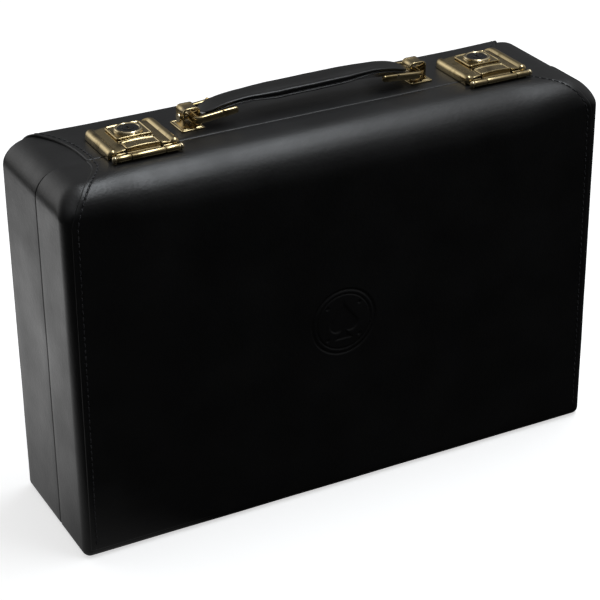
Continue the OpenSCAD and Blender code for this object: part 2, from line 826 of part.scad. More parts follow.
base_frame();
base_panel();
base_side_leather();
base_face_leather();
base_lining();
dust_lip();
lid_frame();
lid_panel();
lid_side_leather();
lid_face_leather();
lid_lining();
lid_pad();
chip_tray();
card_tray();
tray_bearers();
hinge_leaf_base();
hinge_leaf_lid();
hinge_pin();
hinge_screws_base();
hinge_screws_lid();
stay_arm_left();
stay_arm_right();
stay_stud_left();
stay_stud_right();
stay_pivot_left();
stay_pivot_right();
lock_plate_left();
lock_plate_right();
lock_cover_left();
lock_cover_right();
slide_button_left();
slide_button_right();
latch_bolt_left();
latch_bolt_right();
button_spring_left();
button_spring_right();
key_bezel_left();
key_bezel_right();
key_cylinder_left();
key_cylinder_right();
key_plug_left();
key_plug_right();
hasp_left();
hasp_right();
hasp_plate_left();
hasp_plate_right();
hasp_pin_left();
hasp_pin_right();
latch_screws();
hasp_plate_screws();
handle_plate_left();
handle_plate_right();
handle_fork_left();
handle_fork_right();
handle_pivot_left();
handle_pivot_right();
handle_core();
handle_leather();
handle_rivets();
handle_screws();
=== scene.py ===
import math
import json
import bpy
import bmesh
import numpy as np
from mathutils import Vector, Matrix, noise
from mathutils.bvhtree import BVHTree

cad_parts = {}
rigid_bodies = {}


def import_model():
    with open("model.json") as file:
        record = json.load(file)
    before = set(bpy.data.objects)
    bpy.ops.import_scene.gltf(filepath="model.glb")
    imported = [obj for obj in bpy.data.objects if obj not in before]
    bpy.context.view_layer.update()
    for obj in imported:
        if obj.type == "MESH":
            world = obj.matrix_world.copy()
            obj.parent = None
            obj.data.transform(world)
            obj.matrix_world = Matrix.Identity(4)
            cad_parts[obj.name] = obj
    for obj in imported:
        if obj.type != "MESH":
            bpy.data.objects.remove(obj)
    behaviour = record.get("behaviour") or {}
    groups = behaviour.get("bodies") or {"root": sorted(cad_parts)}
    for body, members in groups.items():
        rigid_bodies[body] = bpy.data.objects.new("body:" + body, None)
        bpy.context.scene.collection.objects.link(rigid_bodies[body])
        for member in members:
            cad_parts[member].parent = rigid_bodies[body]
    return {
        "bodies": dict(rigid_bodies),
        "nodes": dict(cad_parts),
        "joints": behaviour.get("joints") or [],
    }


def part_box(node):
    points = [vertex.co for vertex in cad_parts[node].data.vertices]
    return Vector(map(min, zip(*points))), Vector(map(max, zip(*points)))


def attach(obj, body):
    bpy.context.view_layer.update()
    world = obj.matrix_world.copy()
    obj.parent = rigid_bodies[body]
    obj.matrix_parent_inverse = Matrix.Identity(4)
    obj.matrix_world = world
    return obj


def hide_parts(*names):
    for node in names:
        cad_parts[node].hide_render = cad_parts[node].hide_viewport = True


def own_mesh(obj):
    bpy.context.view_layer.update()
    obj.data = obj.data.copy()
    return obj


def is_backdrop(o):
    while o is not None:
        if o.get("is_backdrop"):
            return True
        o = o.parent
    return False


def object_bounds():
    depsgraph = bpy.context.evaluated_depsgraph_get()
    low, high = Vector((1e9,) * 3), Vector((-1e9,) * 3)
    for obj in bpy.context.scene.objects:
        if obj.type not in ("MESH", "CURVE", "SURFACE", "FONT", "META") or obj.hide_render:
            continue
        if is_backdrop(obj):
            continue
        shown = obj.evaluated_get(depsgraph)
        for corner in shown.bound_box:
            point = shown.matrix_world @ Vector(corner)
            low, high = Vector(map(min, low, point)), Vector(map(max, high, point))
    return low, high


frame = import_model()
cad_lo, cad_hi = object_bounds()

# Everything below is in millimetres in the part's own frame; new_piece() turns it into metres.
MM = 1000.0


def node_box(node):
    lo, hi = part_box(node)
    return np.array(lo) * MM, np.array(hi) * MM


HALF_W = cad_hi.x * MM
Y_FRONT = node_box("lid_face_leather")[0][1]
Y_BACK = node_box("base_face_leather")[1][1]
TOP = node_box("lid_face_leather")[1][2]
HINGE = next(j for j in frame["joints"] if j["name"] == "lid_hinge")
Y_SPLIT = HINGE["anchor_m"][1] * MM if "anchor_m" in HINGE else node_box("hinge_pin")[0][1] + 1.0
Y_SPLIT = (node_box("hinge_pin")[0][1] + node_box("hinge_pin")[1][1]) / 2
HINGE_HALF = node_box("hinge_leaf_base")[1][0] + 0.5


# ---------------------------------------------------------------- mesh tools

def new_piece(name, verts, faces, sharp=None):
    """A mesh object from millimetre points; sharp is the angle above which an edge stays crisp."""
    mesh = bpy.data.meshes.new(name)
    mesh.from_pydata((np.asarray(verts, float) / MM).tolist(), [], [list(f) for f in faces])
    mesh.update()
    mesh.shade_smooth()
    if sharp:
        mesh.set_sharp_from_angle(angle=math.radians(sharp))
    piece = bpy.data.objects.new(name, mesh)
    bpy.context.scene.collection.objects.link(piece)
    return piece


def grid_faces(rows, cols, wrap=False, start=0, flip=False):
    """Quads of a rows x cols grid of points, closed round the columns if wrap."""
    faces = []
    for i in range(rows - 1):
        for j in range(cols if wrap else cols - 1):
            k = (j + 1) % cols
            quad = [start + i * cols + j, start + i * cols + k,
                    start + (i + 1) * cols + k, start + (i + 1) * cols + j]
            faces.append(quad[::-1] if flip else quad)
    return faces


def out_normals(piece):
    bm = bmesh.new()
    bm.from_mesh(piece.data)
    bmesh.ops.recalc_face_normals(bm, faces=bm.faces)
    bm.to_mesh(piece.data)
    bm.free()
    return piece


def smoothstep(t):
    t = np.clip(t, 0, 1)
    return t * t * (3 - 2 * t)


def soft_wave(p, size=38.0):
    """Slow, shallow unevenness of hand-laid leather, in the range -1 to 1."""
    x, y, z = p[..., 0] / size, p[..., 1] / size, p[..., 2] / size
    return 0.5 * np.sin(1.3 * x + 2.1 * z + 0.7) * np.sin(1.7 * y - 0.9 * z + 1.9) \
        + 0.3 * np.sin(2.9 * x - 1.1 * y + 0.3) + 0.2 * np.sin(4.3 * z + 2.3 * x + 1.1)


# ---------------------------------------------------------------- leather body

CORNER_TOP, CORNER_LOW = 19.0, 5.5
EDGE_R = 7.0
BROW_R = {-1: 28.0, 1: 12.0}
DEPTH = {-1: Y_SPLIT - Y_FRONT, 1: Y_BACK - Y_SPLIT}
SHEET_T = {-1: 0.6, 1: 1.75}
RIM_R = 1.2
RIM_Y = 0.08
SKIN_WAVE = 0.13


def outline(top_r=CORNER_TOP, low_r=CORNER_LOW, half=None, low=0.0, high=None, step=5.0):
    """Points and normals round the case seen from the front: arrays (n, 2) and (n, 2)."""
    half = half or HALF_W
    high = high or TOP
    pts, nrm = [], []

    def line(a, b, n, count):
        for i in range(count):
            t = i / count
            pts.append((a[0] + (b[0] - a[0]) * t, a[1] + (b[1] - a[1]) * t))
            nrm.append(n)

    def bend(cx, cz, r, a0, a1, count):
        for i in range(count):
            a = math.radians(a0 + (a1 - a0) * i / count)
            pts.append((cx + r * math.cos(a), cz + r * math.sin(a)))
            nrm.append((math.cos(a), math.sin(a)))

    upright = int((high - low - top_r - low_r) / step)
    across = int(2 * (half - top_r) / step)
    line((half, low + low_r), (half, high - top_r), (1, 0), upright)
    bend(half - top_r, high - top_r, top_r, 0, 90, 18)
    line((half - top_r, high), (top_r - half, high), (0, 1), across)
    bend(top_r - half, high - top_r, top_r, 90, 180, 18)
    line((-half, high - top_r), (-half, low + low_r), (-1, 0), upright)
    bend(low_r - half, low + low_r, low_r, 180, 270, 6)
    edge = HINGE_HALF + 0.01
    line((low_r - half, low), (-edge, low), (0, -1), 2)
    line((-edge, low), (edge, low), (0, -1), across)
    line((edge, low), (half - low_r, low), (0, -1), 2)
    bend(half - low_r, low + low_r, low_r, 270, 360, 6)
    return np.array(pts), np.array(nrm)


def edge_radius(side, pts, nrm):
    """Radius of the turn from the band onto the big face: generous under the brow, tight at the sides."""
    brow = BROW_R[side]
    near = 18.5 if side < 0 else 10.0
    x = np.abs(pts[:, 0])
    t = smoothstep((x - 135) / (HALF_W - CORNER_TOP - 135))
    along_top = brow + (near - brow) * t
    round_corner = EDGE_R + (near - EDGE_R) * smoothstep(nrm[:, 1])
    radius = np.where(x < HALF_W - CORNER_TOP, along_top, round_corner)
    return np.where(nrm[:, 1] > 0.001, radius, EDGE_R)


def band_points(side, under):
    """Surface of one half from its rim to a little way onto the big face, as (rows, samples, 3)."""
    pts, nrm = outline()
    radius = edge_radius(side, pts, nrm)
    depth = DEPTH[side]
    in_notch = (nrm[:, 1] < -0.99) & (np.abs(pts[:, 0]) <= HINGE_HALF)
    low_end = (pts[:, 1] < 3.1) & ~in_notch
    y0 = np.where(in_notch, 3.6, np.where(low_end, 3.2, RIM_Y))
    reach = np.where(in_notch, 4.5, np.where(low_end, 2.6, 7.9))
    rows = []

    def row(yy, inset, angle):
        normal = np.stack([nrm[:, 0] * np.cos(angle), side * np.sin(angle) * np.ones(len(pts)),
                           nrm[:, 1] * np.cos(angle)], 1)
        p = np.stack([pts[:, 0] - nrm[:, 0] * inset, Y_SPLIT + side * yy, pts[:, 1] - nrm[:, 1] * inset], 1)
        if under:
            low = np.where(normal[:, 2] < 0, normal[:, 2] ** 2, 0)
            p = p - normal * (SHEET_T[side] * (1 - normal[:, 0] ** 2) * (1 - low))[:, None]
        rows.append(p + normal * (SKIN_WAVE * soft_wave(p))[:, None])

    if under:
        row(y0, reach, 0)
        row(y0, reach * 0.5, 0)
    for k in range(6):
        a = math.pi / 2 * k / 5
        row(y0 + RIM_R * (1 - math.cos(a)), RIM_R * (1 - math.sin(a)), 0)
    start = y0 + RIM_R
    for k in range(1, 9):
        row(start + (depth - radius - start) * k / 8, 0 * radius, 0)
    for k in range(1, 15):
        a = math.pi / 2 * k / 14
        row(depth - radius + radius * math.sin(a), radius * (1 - math.cos(a)), a)
    hub = np.array([0, 0, TOP / 2])
    for step in (2.0, 4.0):
        inward = (hub - rows[-1]) * (1, 0, 1)
        rows.append(rows[-1] + inward / np.linalg.norm(inward, axis=1, keepdims=True) * step)
    return np.array(rows)


def make_band(side, name):
    p = band_points(side, True)
    rows, cols = p.shape[:2]
    return out_normals(new_piece(name, p.reshape(-1, 3), grid_faces(rows, cols, True)))


def envelope(side):
    """The smooth outer surface that the face sheets are laid on, for ray casting."""
    p = band_points(side, False)
    rows, cols = p.shape[:2]
    verts = [tuple(v) for v in p.reshape(-1, 3)]
    faces = grid_faces(rows, cols, True)
    last = (rows - 1) * cols
    y = p[-1, 0, 1]
    hub = len(verts)
    verts.append((0, Y_SPLIT + side * DEPTH[side], TOP / 2))
    faces += [[last + j, last + (j + 1) % cols, hub] for j in range(cols)]
    return BVHTree.FromPolygons(verts, faces)


def seam_x(side, u):
    """Half width of a face sheet at path length u from the split, over the top and down the face."""
    if side < 0:
        return 164.3 + 29 * smoothstep((u - 6) / 52) + u / 120
    bend = 57.0
    if u < bend:
        return 163.4 + 15.7 * (u / bend) ** 2.9
    return 194.5 - 15.4 * np.exp(-0.053 * (u - bend))


def path_dir(side, u):
    """Where path length u lies: (y, z) of a point and the (y, z) direction facing it from outside."""
    r = BROW_R[side]
    flat = DEPTH[side] - r
    arc_len = r * math.pi / 2
    if u < flat:
        return (Y_SPLIT + side * u, TOP), (0, 1)
    if u < flat + arc_len:
        a = (u - flat) / r
        d = (side * math.sin(a), math.cos(a))
        return (Y_SPLIT + side * (flat + r * d[0] * side), TOP - r + r * d[1]), d
    return (Y_SPLIT + side * DEPTH[side], TOP - r - (u - flat - arc_len)), (side, 0)


EMBLEM_X, EMBLEM_Z = -3.0, 132.0
EMBLEM_R = 24.0


def emblem_depth(x, z):
    """Blind-debossed mark, 0 to 1: a double ring round a plain spade."""
    dx, dz = x - EMBLEM_X, z - EMBLEM_Z
    rad = np.hypot(dx, dz)

    def groove(distance, half_width):
        return 1 - smoothstep((np.abs(distance) - half_width * 0.5) / (half_width * 0.9))

    rings = np.maximum(groove(rad - EMBLEM_R, 0.9), groove(rad - EMBLEM_R + 3.4, 0.5))
    # spade: an upturned heart made of two lobes and a leaf point, on a flared stem
    lobe = np.minimum(np.hypot(dx - 5.0, dz + 2.2), np.hypot(dx + 5.0, dz + 2.2)) - 5.6
    leaf = np.abs(dx) - 10.4 * (1 - smoothstep((dz + 3.5) / 19.0)) ** 0.9
    leaf = np.where((dz > -3.5) & (dz < 15.5), leaf, 9.0)
    stem = np.abs(dx) - (0.9 + 0.055 * (dz + 3.0) ** 2)
    stem = np.where((dz < -3.0) & (dz > -13.5), stem, 9.0)
    spade = np.minimum(np.minimum(lobe, leaf), stem)
    solid = 1 - smoothstep((spade + 0.4) / 1.1)
    ticks = np.zeros_like(rad)
    for k in range(4):
        a = math.pi / 4 + k * math.pi / 2
        cx, cz = 17.2 * math.cos(a), 17.2 * math.sin(a)
        ticks = np.maximum(ticks, 1 - smoothstep((np.abs(dx - cx) + np.abs(dz - cz) - 0.9) / 1.1))
    return np.maximum(np.maximum(rings, solid), ticks)


STITCH_IN = 4.0
STITCH_PITCH = 4.7
SHEET_LOW = 6.6


def make_sheet(side, name):
    """Face sheet: over the top, round the brow and down the big face, with rolled edges and a stitched border."""
    tree = envelope(side)
    r = BROW_R[side]
    flat, arc_len = DEPTH[side] - r, r * math.pi / 2
    total = flat + arc_len + TOP - r - SHEET_LOW
    fine_z = (EMBLEM_Z + EMBLEM_R + 3, EMBLEM_Z - EMBLEM_R - 3)
    us = list(np.arange(1.0, flat, 3.5)) + list(np.linspace(flat, flat + arc_len, 22))
    z = TOP - r
    while z > SHEET_LOW + 1.2:
        z -= 0.55 if (side < 0 and fine_z[1] < z < fine_z[0] + 4) else 4.5
        if z > SHEET_LOW + 1.0:
            us.append(flat + arc_len + TOP - r - z)
    us.append(total - 0.9)
    border = [0.9, 1.3, 2.2, 3.0, 3.4, 3.7, 4.0, 4.3, 4.6, 5.2, 6.4, 9.0]
    inner = np.concatenate([np.arange(-150, -36, 6.0), np.arange(-33, 28, 0.55), np.arange(33, 151, 6.0)]) \
        if side < 0 else np.arange(-150, 151, 6.0)
    pts = []
    for u in us:
        (y, zc), (dy, dz) = path_dir(side, u)
        s = seam_x(side, u)
        xs = np.concatenate([[-(s - b) for b in border], inner * (s - 12) / 153.0, [s - b for b in border[::-1]]])
        line = []
        for x in xs:
            origin = Vector((x, y + dy * 40, zc + dz * 40))
            hit = tree.ray_cast(origin, Vector((0, -dy, -dz)), 90)[0]
            line.append(tuple(hit) if hit else (x, y, zc))
        pts.append(line)
    p = np.array(pts)
    gu = np.gradient(p, axis=0)
    gx = np.gradient(p, axis=1)
    n = np.cross(gx, gu)
    n /= np.linalg.norm(n, axis=2, keepdims=True) + 1e-12
    (_, _), (dy0, dz0) = path_dir(side, 0)
    if (n[2, n.shape[1] // 2] @ np.array([0, 0, 1])) < 0:
        n = -n
    # stitch groove and debossed mark
    cols = p.shape[1]
    border_all = np.full(cols, 50.0)
    border_all[:len(border)] = border
    border_all[-len(border):] = border[::-1]
    groove = 0.28 * np.exp(-((border_all - STITCH_IN) / 0.55) ** 2)
    p = p - n * groove[None, :, None]
    if side < 0:
        mark = emblem_depth(p[..., 0], p[..., 2]) * (n[..., 1] < -0.9)
        p = p - n * (0.75 * mark)[..., None]
    thick = SHEET_T[side]
    # rolled side edges
    left, right = [], []
    for k in range(1, 5):
        a = math.pi / 2 * k / 4
        for store, col, out in ((left, 0, -1), (right, -1, 1)):
            e = p[:, col] + out * np.cross(n[:, col], np.gradient(p[:, col], axis=0)) * 0
            tangent = p[:, col] - p[:, col + (1 if col == 0 else -1)]
            tangent /= np.linalg.norm(tangent, axis=1, keepdims=True)
            store.append(p[:, col] + tangent * 0.9 * math.sin(a) - n[:, col] * thick * (1 - math.cos(a)))
    for store, col in ((left, 0), (right, -1)):
        store.append(store[-1] - n[:, col] * 0.5)
    p = np.concatenate([np.array(left[::-1]).transpose(1, 0, 2), p, np.array(right).transpose(1, 0, 2)], axis=1)
    n = np.concatenate([np.repeat(n[:, :1], 5, 1), n, np.repeat(n[:, -1:], 5, 1)], axis=1)
    # the split edge turns in over the rim, the low edge turns onto the band
    first, last = [], []
    for k in range(1, 5):
        a = math.pi / 2 * k / 4
        turn = p[0] - side * np.array([0, 1, 0]) * (1.0 - RIM_Y) * math.sin(a) - n[0] * 1.1 * (1 - math.cos(a))
        first.append(turn)
        last.append(p[-1] - np.array([0, 0, 1]) * 0.9 * math.sin(a) - n[-1] * thick * (1 - math.cos(a)))
    last.append(last[-1] - n[-1] * 0.5)
    first.append(first[-1] - n[0] * 3.0)
    p = np.concatenate([np.array(first[::-1]), p, np.array(last)], axis=0)
    rows, cols = p.shape[:2]
    piece = new_piece(name, p.reshape(-1, 3), grid_faces(rows, cols))
    out_normals(piece)
    return piece, tree


def capsule(a, b, normal, radius):
    """A thread stitch from a to b, flattened onto the leather: verts and faces."""
    d = b - a
    length = np.linalg.norm(d)
    d = d / length
    w = np.cross(d, normal)
    verts, ring = [], 8
    for t, s in ((0.0, 0.15), (0.04, 0.55), (0.13, 0.9), (0.3, 1), (0.7, 1), (0.87, 0.9), (0.96, 0.55), (1.0, 0.15)):
        mid = a + d * length * t + normal * 0.12 * math.sin(math.pi * t)
        for k in range(ring):
            q = 2 * math.pi * k / ring
            verts.append(mid + (w * math.cos(q) * radius * 1.25 + normal * math.sin(q) * radius) * s)
    faces = grid_faces(8, ring, True)
    faces.append(list(range(ring))[::-1])
    faces.append([7 * ring + k for k in range(ring)])
    return verts, faces


def stitch_rows(side, tree, name):
    """Stitches along both side borders of a face sheet."""
    r = BROW_R[side]
    total = DEPTH[side] - r + r * math.pi / 2 + TOP - r - SHEET_LOW
    verts, faces = [], []
    for sign in (-1, 1):
        track = []
        for u in np.arange(2.2, total - 3, 0.5):
            (y, z), (dy, dz) = path_dir(side, u)
            x = sign * (seam_x(side, u) - STITCH_IN)
            hit = tree.ray_cast(Vector((x, y + dy * 40, z + dz * 40)), Vector((0, -dy, -dz)), 90)
            if hit[0] is not None:
                nn = hit[1] if hit[1].dot(Vector((0, dy, dz))) > 0 else -hit[1]
                track.append((np.array(hit[0]), np.array(nn)))
        run = np.concatenate([[0], np.cumsum([np.linalg.norm(track[i + 1][0] - track[i][0])
                                              for i in range(len(track) - 1)])])
        where = 1.0
        while where + 3.4 < run[-1]:
            i, j = np.searchsorted(run, where), np.searchsorted(run, where + 3.3)
            j = min(j, len(track) - 1)
            nn = track[(i + j) // 2][1]
            v, f = capsule(track[i][0] - nn * 0.14, track[j][0] - nn * 0.14, nn, 0.4)
            faces += [[q + len(verts) for q in poly] for poly in f]
            verts += v
            where += STITCH_PITCH
    return out_normals(new_piece(name, verts, faces))


# ---------------------------------------------------------------- materials

def material(name):
    m = bpy.data.materials.new(name)
    m.use_nodes = True
    nodes, links = m.node_tree.nodes, m.node_tree.links
    shader = nodes["Principled BSDF"]
    coords = nodes.new("ShaderNodeTexCoord")
    return m, nodes, links, shader, coords.outputs["Object"]


def add_noise(nodes, links, vector, scale, detail=4.0, rough=0.55, stretch=None):
    if stretch:
        mapping = nodes.new("ShaderNodeMapping")
        mapping.inputs["Scale"].default_value = stretch
        links.new(vector, mapping.inputs["Vector"])
        vector = mapping.outputs["Vector"]
    n = nodes.new("ShaderNodeTexNoise")
    n.inputs["Scale"].default_value = scale
    n.inputs["Detail"].default_value = detail
    n.inputs["Roughness"].default_value = rough
    links.new(vector, n.inputs["Vector"])
    return n.outputs["Fac"]


def ramp(nodes, links, value, stops):
    r = nodes.new("ShaderNodeValToRGB")
    while len(r.color_ramp.elements) < len(stops):
        r.color_ramp.elements.new(0.5)
    for e, (at, colour) in zip(r.color_ramp.elements, stops):
        e.position = at
        e.color = (*colour, 1) if len(colour) == 3 else colour
    links.new(value, r.inputs["Fac"])
    return r.outputs["Color"]


def to_range(nodes, links, value, low, high, a=0.0, b=1.0):
    m = nodes.new("ShaderNodeMapRange")
    m.inputs["From Min"].default_value, m.inputs["From Max"].default_value = a, b
    m.inputs["To Min"].default_value, m.inputs["To Max"].default_value = low, high
    links.new(value, m.inputs["Value"])
    return m.outputs["Result"]


def combine(nodes, links, kind, a, b):
    m = nodes.new("ShaderNodeMath")
    m.operation = kind
    for socket, v in zip(m.inputs, (a, b)):
        if isinstance(v, (int, float)):
            socket.default_value = v
        else:
            links.new(v, socket)
    return m.outputs["Value"]


def bump(nodes, links, shader, height, strength, distance):
    b = nodes.new("ShaderNodeBump")
    b.inputs["Strength"].default_value = strength
    b.inputs["Distance"].default_value = distance
    links.new(height, b.inputs["Height"])
    links.new(b.outputs["Normal"], shader.inputs["Normal"])
    return b


def leather(name, dark, light, rough, grain=620.0, depth=0.00012, wear=0.35):
    """Fine-grained dyed leather: pebbles, soft patches of polish, and paler worn edges."""
    m, nodes, links, shader, at = material(name)
    patches = add_noise(nodes, links, at, 22, 5)
    fine = add_noise(nodes, links, at, 420, 3)
    tone = combine(nodes, links, "ADD", combine(nodes, links, "MULTIPLY", patches, 0.7),
                   combine(nodes, links, "MULTIPLY", fine, 0.3))
    colour = ramp(nodes, links, tone, ((0.32, dark), (0.68, light)))
    cells = nodes.new("ShaderNodeTexVoronoi")
    cells.feature = "SMOOTH_F1"
    cells.inputs["Scale"].default_value = grain
    links.new(at, cells.inputs["Vector"])
    creases = add_noise(nodes, links, at, 260, 6, 0.62)
    height = combine(nodes, links, "ADD", combine(nodes, links, "MULTIPLY", cells.outputs["Distance"], 0.4),
                     combine(nodes, links, "MULTIPLY", creases, 0.9))
    bump(nodes, links, shader, height, 0.5, depth * 2.2)
    geometry = nodes.new("ShaderNodeNewGeometry")
    edge = to_range(nodes, links, geometry.outputs["Pointiness"], 0, wear, 0.53, 0.62)
    mix = nodes.new("ShaderNodeMix")
    mix.data_type = "RGBA"
    links.new(edge, mix.inputs["Factor"])
    links.new(colour, mix.inputs["A"])
    mix.inputs["B"].default_value = (light[0] * 4, light[1] * 4, light[2] * 4, 1)
    links.new(mix.outputs["Result"], shader.inputs["Base Color"])
    links.new(to_range(nodes, links, patches, rough - 0.06, rough + 0.07, 0.3, 0.7), shader.inputs["Roughness"])
    shader.inputs["Specular IOR Level"].default_value = 0.5
    return m


def metal(name, colour, rough, brushed=0.0, tarnish=(0.5, 0.4, 0.25)):
    """Plated or polished metal with faint scratches and dull patches."""
    m, nodes, links, shader, at = material(name)
    shader.inputs["Metallic"].default_value = 1.0
    patches = add_noise(nodes, links, at, 90, 5)
    dull = tuple(c * t for c, t in zip(colour, tarnish))
    tone = ramp(nodes, links, patches, ((0.3, dull), (0.46, colour), (1.0, colour)))
    links.new(tone, shader.inputs["Base Color"])
    scratch = add_noise(nodes, links, at, 700, 3, 0.6, (1.0, 0.06, 1.0))
    total = combine(nodes, links, "ADD", combine(nodes, links, "MULTIPLY", patches, 0.5),
                    combine(nodes, links, "MULTIPLY", scratch, 0.5))
    links.new(to_range(nodes, links, total, rough * 0.7, rough * 1.6, 0.3, 0.7), shader.inputs["Roughness"])
    bump(nodes, links, shader, scratch, 0.02 + brushed, 0.00003)
    return m


def velvet(name, dark, light):
    m, nodes, links, shader, at = material(name)
    nap = add_noise(nodes, links, at, 45, 4)
    pile = add_noise(nodes, links, at, 1800, 2)
    links.new(ramp(nodes, links, nap, ((0.3, dark), (0.7, light))), shader.inputs["Base Color"])
    shader.inputs["Roughness"].default_value = 0.95
    shader.inputs["Specular IOR Level"].default_value = 0.1
    shader.inputs["Sheen Weight"].default_value = 0.6
    shader.inputs["Sheen Roughness"].default_value = 0.35
    shader.inputs["Sheen Tint"].default_value = (0.5, 0.5, 0.55, 1)
    bump(nodes, links, shader, combine(nodes, links, "ADD", pile, nap), 0.5, 0.0002)
    return m


def wood(name, dark, light):
    m, nodes, links, shader, at = material(name)
    grain = add_noise(nodes, links, at, 60, 8, 0.6, (0.08, 1.0, 1.0))
    links.new(ramp(nodes, links, grain, ((0.3, dark), (0.7, light))), shader.inputs["Base Color"])
    shader.inputs["Roughness"].default_value = 0.6
    bump(nodes, links, shader, grain, 0.3, 0.0001)
    return m


def plain_gloss(name, dark, light, rough):
    m, nodes, links, shader, at = material(name)
    n = add_noise(nodes, links, at, 300, 4)
    links.new(ramp(nodes, links, n, ((0.3, dark), (0.7, light))), shader.inputs["Base Color"])
    links.new(to_range(nodes, links, n, rough - 0.05, rough + 0.08, 0.3, 0.7), shader.inputs["Roughness"])
    return m


LEATHER = leather("leather_black", (0.0046, 0.0046, 0.0049), (0.0088, 0.0088, 0.0092), 0.40)
GRIP = leather("leather_grip", (0.003, 0.003, 0.003), (0.007, 0.007, 0.007), 0.36, 1100, 0.0001)
THREAD = velvet("thread_black", (0.02, 0.02, 0.021), (0.05, 0.05, 0.052))
BRASS = metal("brass_polished", (0.50, 0.40, 0.22), 0.18, 0.0, (0.42, 0.40, 0.32))
BRASS_FIELD = metal("brass_satin", (0.44, 0.35, 0.19), 0.27, 0.1)
# darker brass laid on the latch tabs' coves as painted shade
BRASS_SHADE_PAINT = metal("brass_painted_shade", (0.22, 0.17, 0.09), 0.34, 0.0, (0.5, 0.45, 0.4))
BRIGHT = metal("brass_bright", (0.66, 0.56, 0.36), 0.14)
STEEL = metal("steel", (0.62, 0.62, 0.63), 0.28, 0.1)
BLACK = plain_gloss("lock_black", (0.004, 0.004, 0.004), (0.012, 0.012, 0.012), 0.25)
VELVET = velvet("velvet_charcoal", (0.012, 0.012, 0.014), (0.03, 0.03, 0.033))
WOOD = wood("birch", (0.30, 0.19, 0.10), (0.52, 0.36, 0.21))


def paint(piece, mat):
    piece.data.materials.clear()
    piece.data.materials.append(mat)
    return piece


# ---------------------------------------------------------------- build: leather

def put(piece, mat, body, replaces=()):
    paint(piece, mat)
    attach(piece, body)
    if replaces:
        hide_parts(*replaces)
    return piece


for side, body, label in ((-1, "lid", "lid"), (1, "base", "base")):
    put(make_band(side, label + "_band"), LEATHER, body, (label + "_side_leather",))
    sheet, tree = make_sheet(side, label + "_sheet")
    put(sheet, LEATHER, body, (label + "_face_leather",))
    put(stitch_rows(side, tree, label + "_stitches"), THREAD, body)


# ---------------------------------------------------------------- build: hardware

class Mesh:
    """Collects points and faces of several shapes into one piece."""

    def __init__(self):
        self.verts, self.faces = [], []

    def add(self, verts, faces):
        start = len(self.verts)
        self.verts += [tuple(v) for v in verts]
        self.faces += [[q + start for q in f] for f in faces]

    def piece(self, name, sharp=None):
        return out_normals(new_piece(name, self.verts, self.faces, sharp))


def plan_ring(x0, x1, y0, y1, radii, inset=0.0, arc=5, side=8):
    """Rounded rectangle; corner radii run front left, front right, back right, back left."""
    x0, x1, y0, y1 = x0 + inset, x1 - inset, y0 + inset, y1 - inset
    corners = ((x0, y0, 1, 1, 180), (x1, y0, -1, 1, 270), (x1, y1, -1, -1, 0), (x0, y1, 1, -1, 90))
    arcs = []
    for (cx, cy, sx, sy, start), r in zip(corners, radii):
        r = max(r - inset, 0.05)
        arcs.append([(cx + sx * r + r * math.cos(math.radians(start + 90 * k / arc)),
                      cy + sy * r + r * math.sin(math.radians(start + 90 * k / arc))) for k in range(arc + 1)])
    points = []
    for here, after in zip(arcs, arcs[1:] + arcs[:1]):
        points += here
        (ax, ay), (bx, by) = here[-1], after[0]
        points += [(ax + (bx - ax) * k / side, ay + (by - ay) * k / side) for k in range(1, side)]
    return points


def nested(mesh, ring, profile, height, swap=None):
    """Nested rings joined by quads and closed at the last one; profile holds (inset, rise) pairs."""
    rings = []
    for inset, rise in profile:
        rings.append([(x, y, height(x, y) + rise) for x, y in ring(inset)])
    last_inset, last_rise = profile[-1]
    flat = ring(last_inset)
    mx = sum(p[0] for p in flat) / len(flat)
    my = sum(p[1] for p in flat) / len(flat)
    for s in (0.7, 0.4, 0.1):
        rings.append([(mx + s * (x - mx), my + s * (y - my),
                       height(mx + s * (x - mx), my + s * (y - my)) + last_rise) for x, y in flat])
    n = len(flat)
    verts = [swap(p) if swap else p for r in rings for p in r]
    faces = grid_faces(len(rings), n, True)
    faces.append([(len(rings) - 1) * n + k for k in range(n)])
    mesh.add(verts, faces)


def turned(mesh, profile, at, along="x", count=24):
    """Shape turned on a line; profile holds (place on the line, radius) pairs."""
    verts = []
    for t, r in profile:
        for k in range(count):
            q = 2 * math.pi * k / count
            a, b = r * math.cos(q), r * math.sin(q)
            verts.append((t, at[0] + a, at[1] + b) if along == "x" else (at[0] + a, t, at[1] + b))
    faces = grid_faces(len(profile), count, True)
    faces.append(list(range(count))[::-1])
    faces.append([(len(profile) - 1) * count + k for k in range(count)])
    mesh.add(verts, faces)


def rounded_rod(x0, x1, r, edge=0.45):
    """Profile of a rod with rounded ends."""
    turn = [(edge * (1 - math.cos(q)), r - edge * (1 - math.sin(q))) for q in (0, 0.52, 1.05, math.pi / 2)]
    return [(x0, 0.05)] + [(x0 + a, b) for a, b in turn] + [(x1 - a, b) for a, b in turn[::-1]] + [(x1, 0.05)]


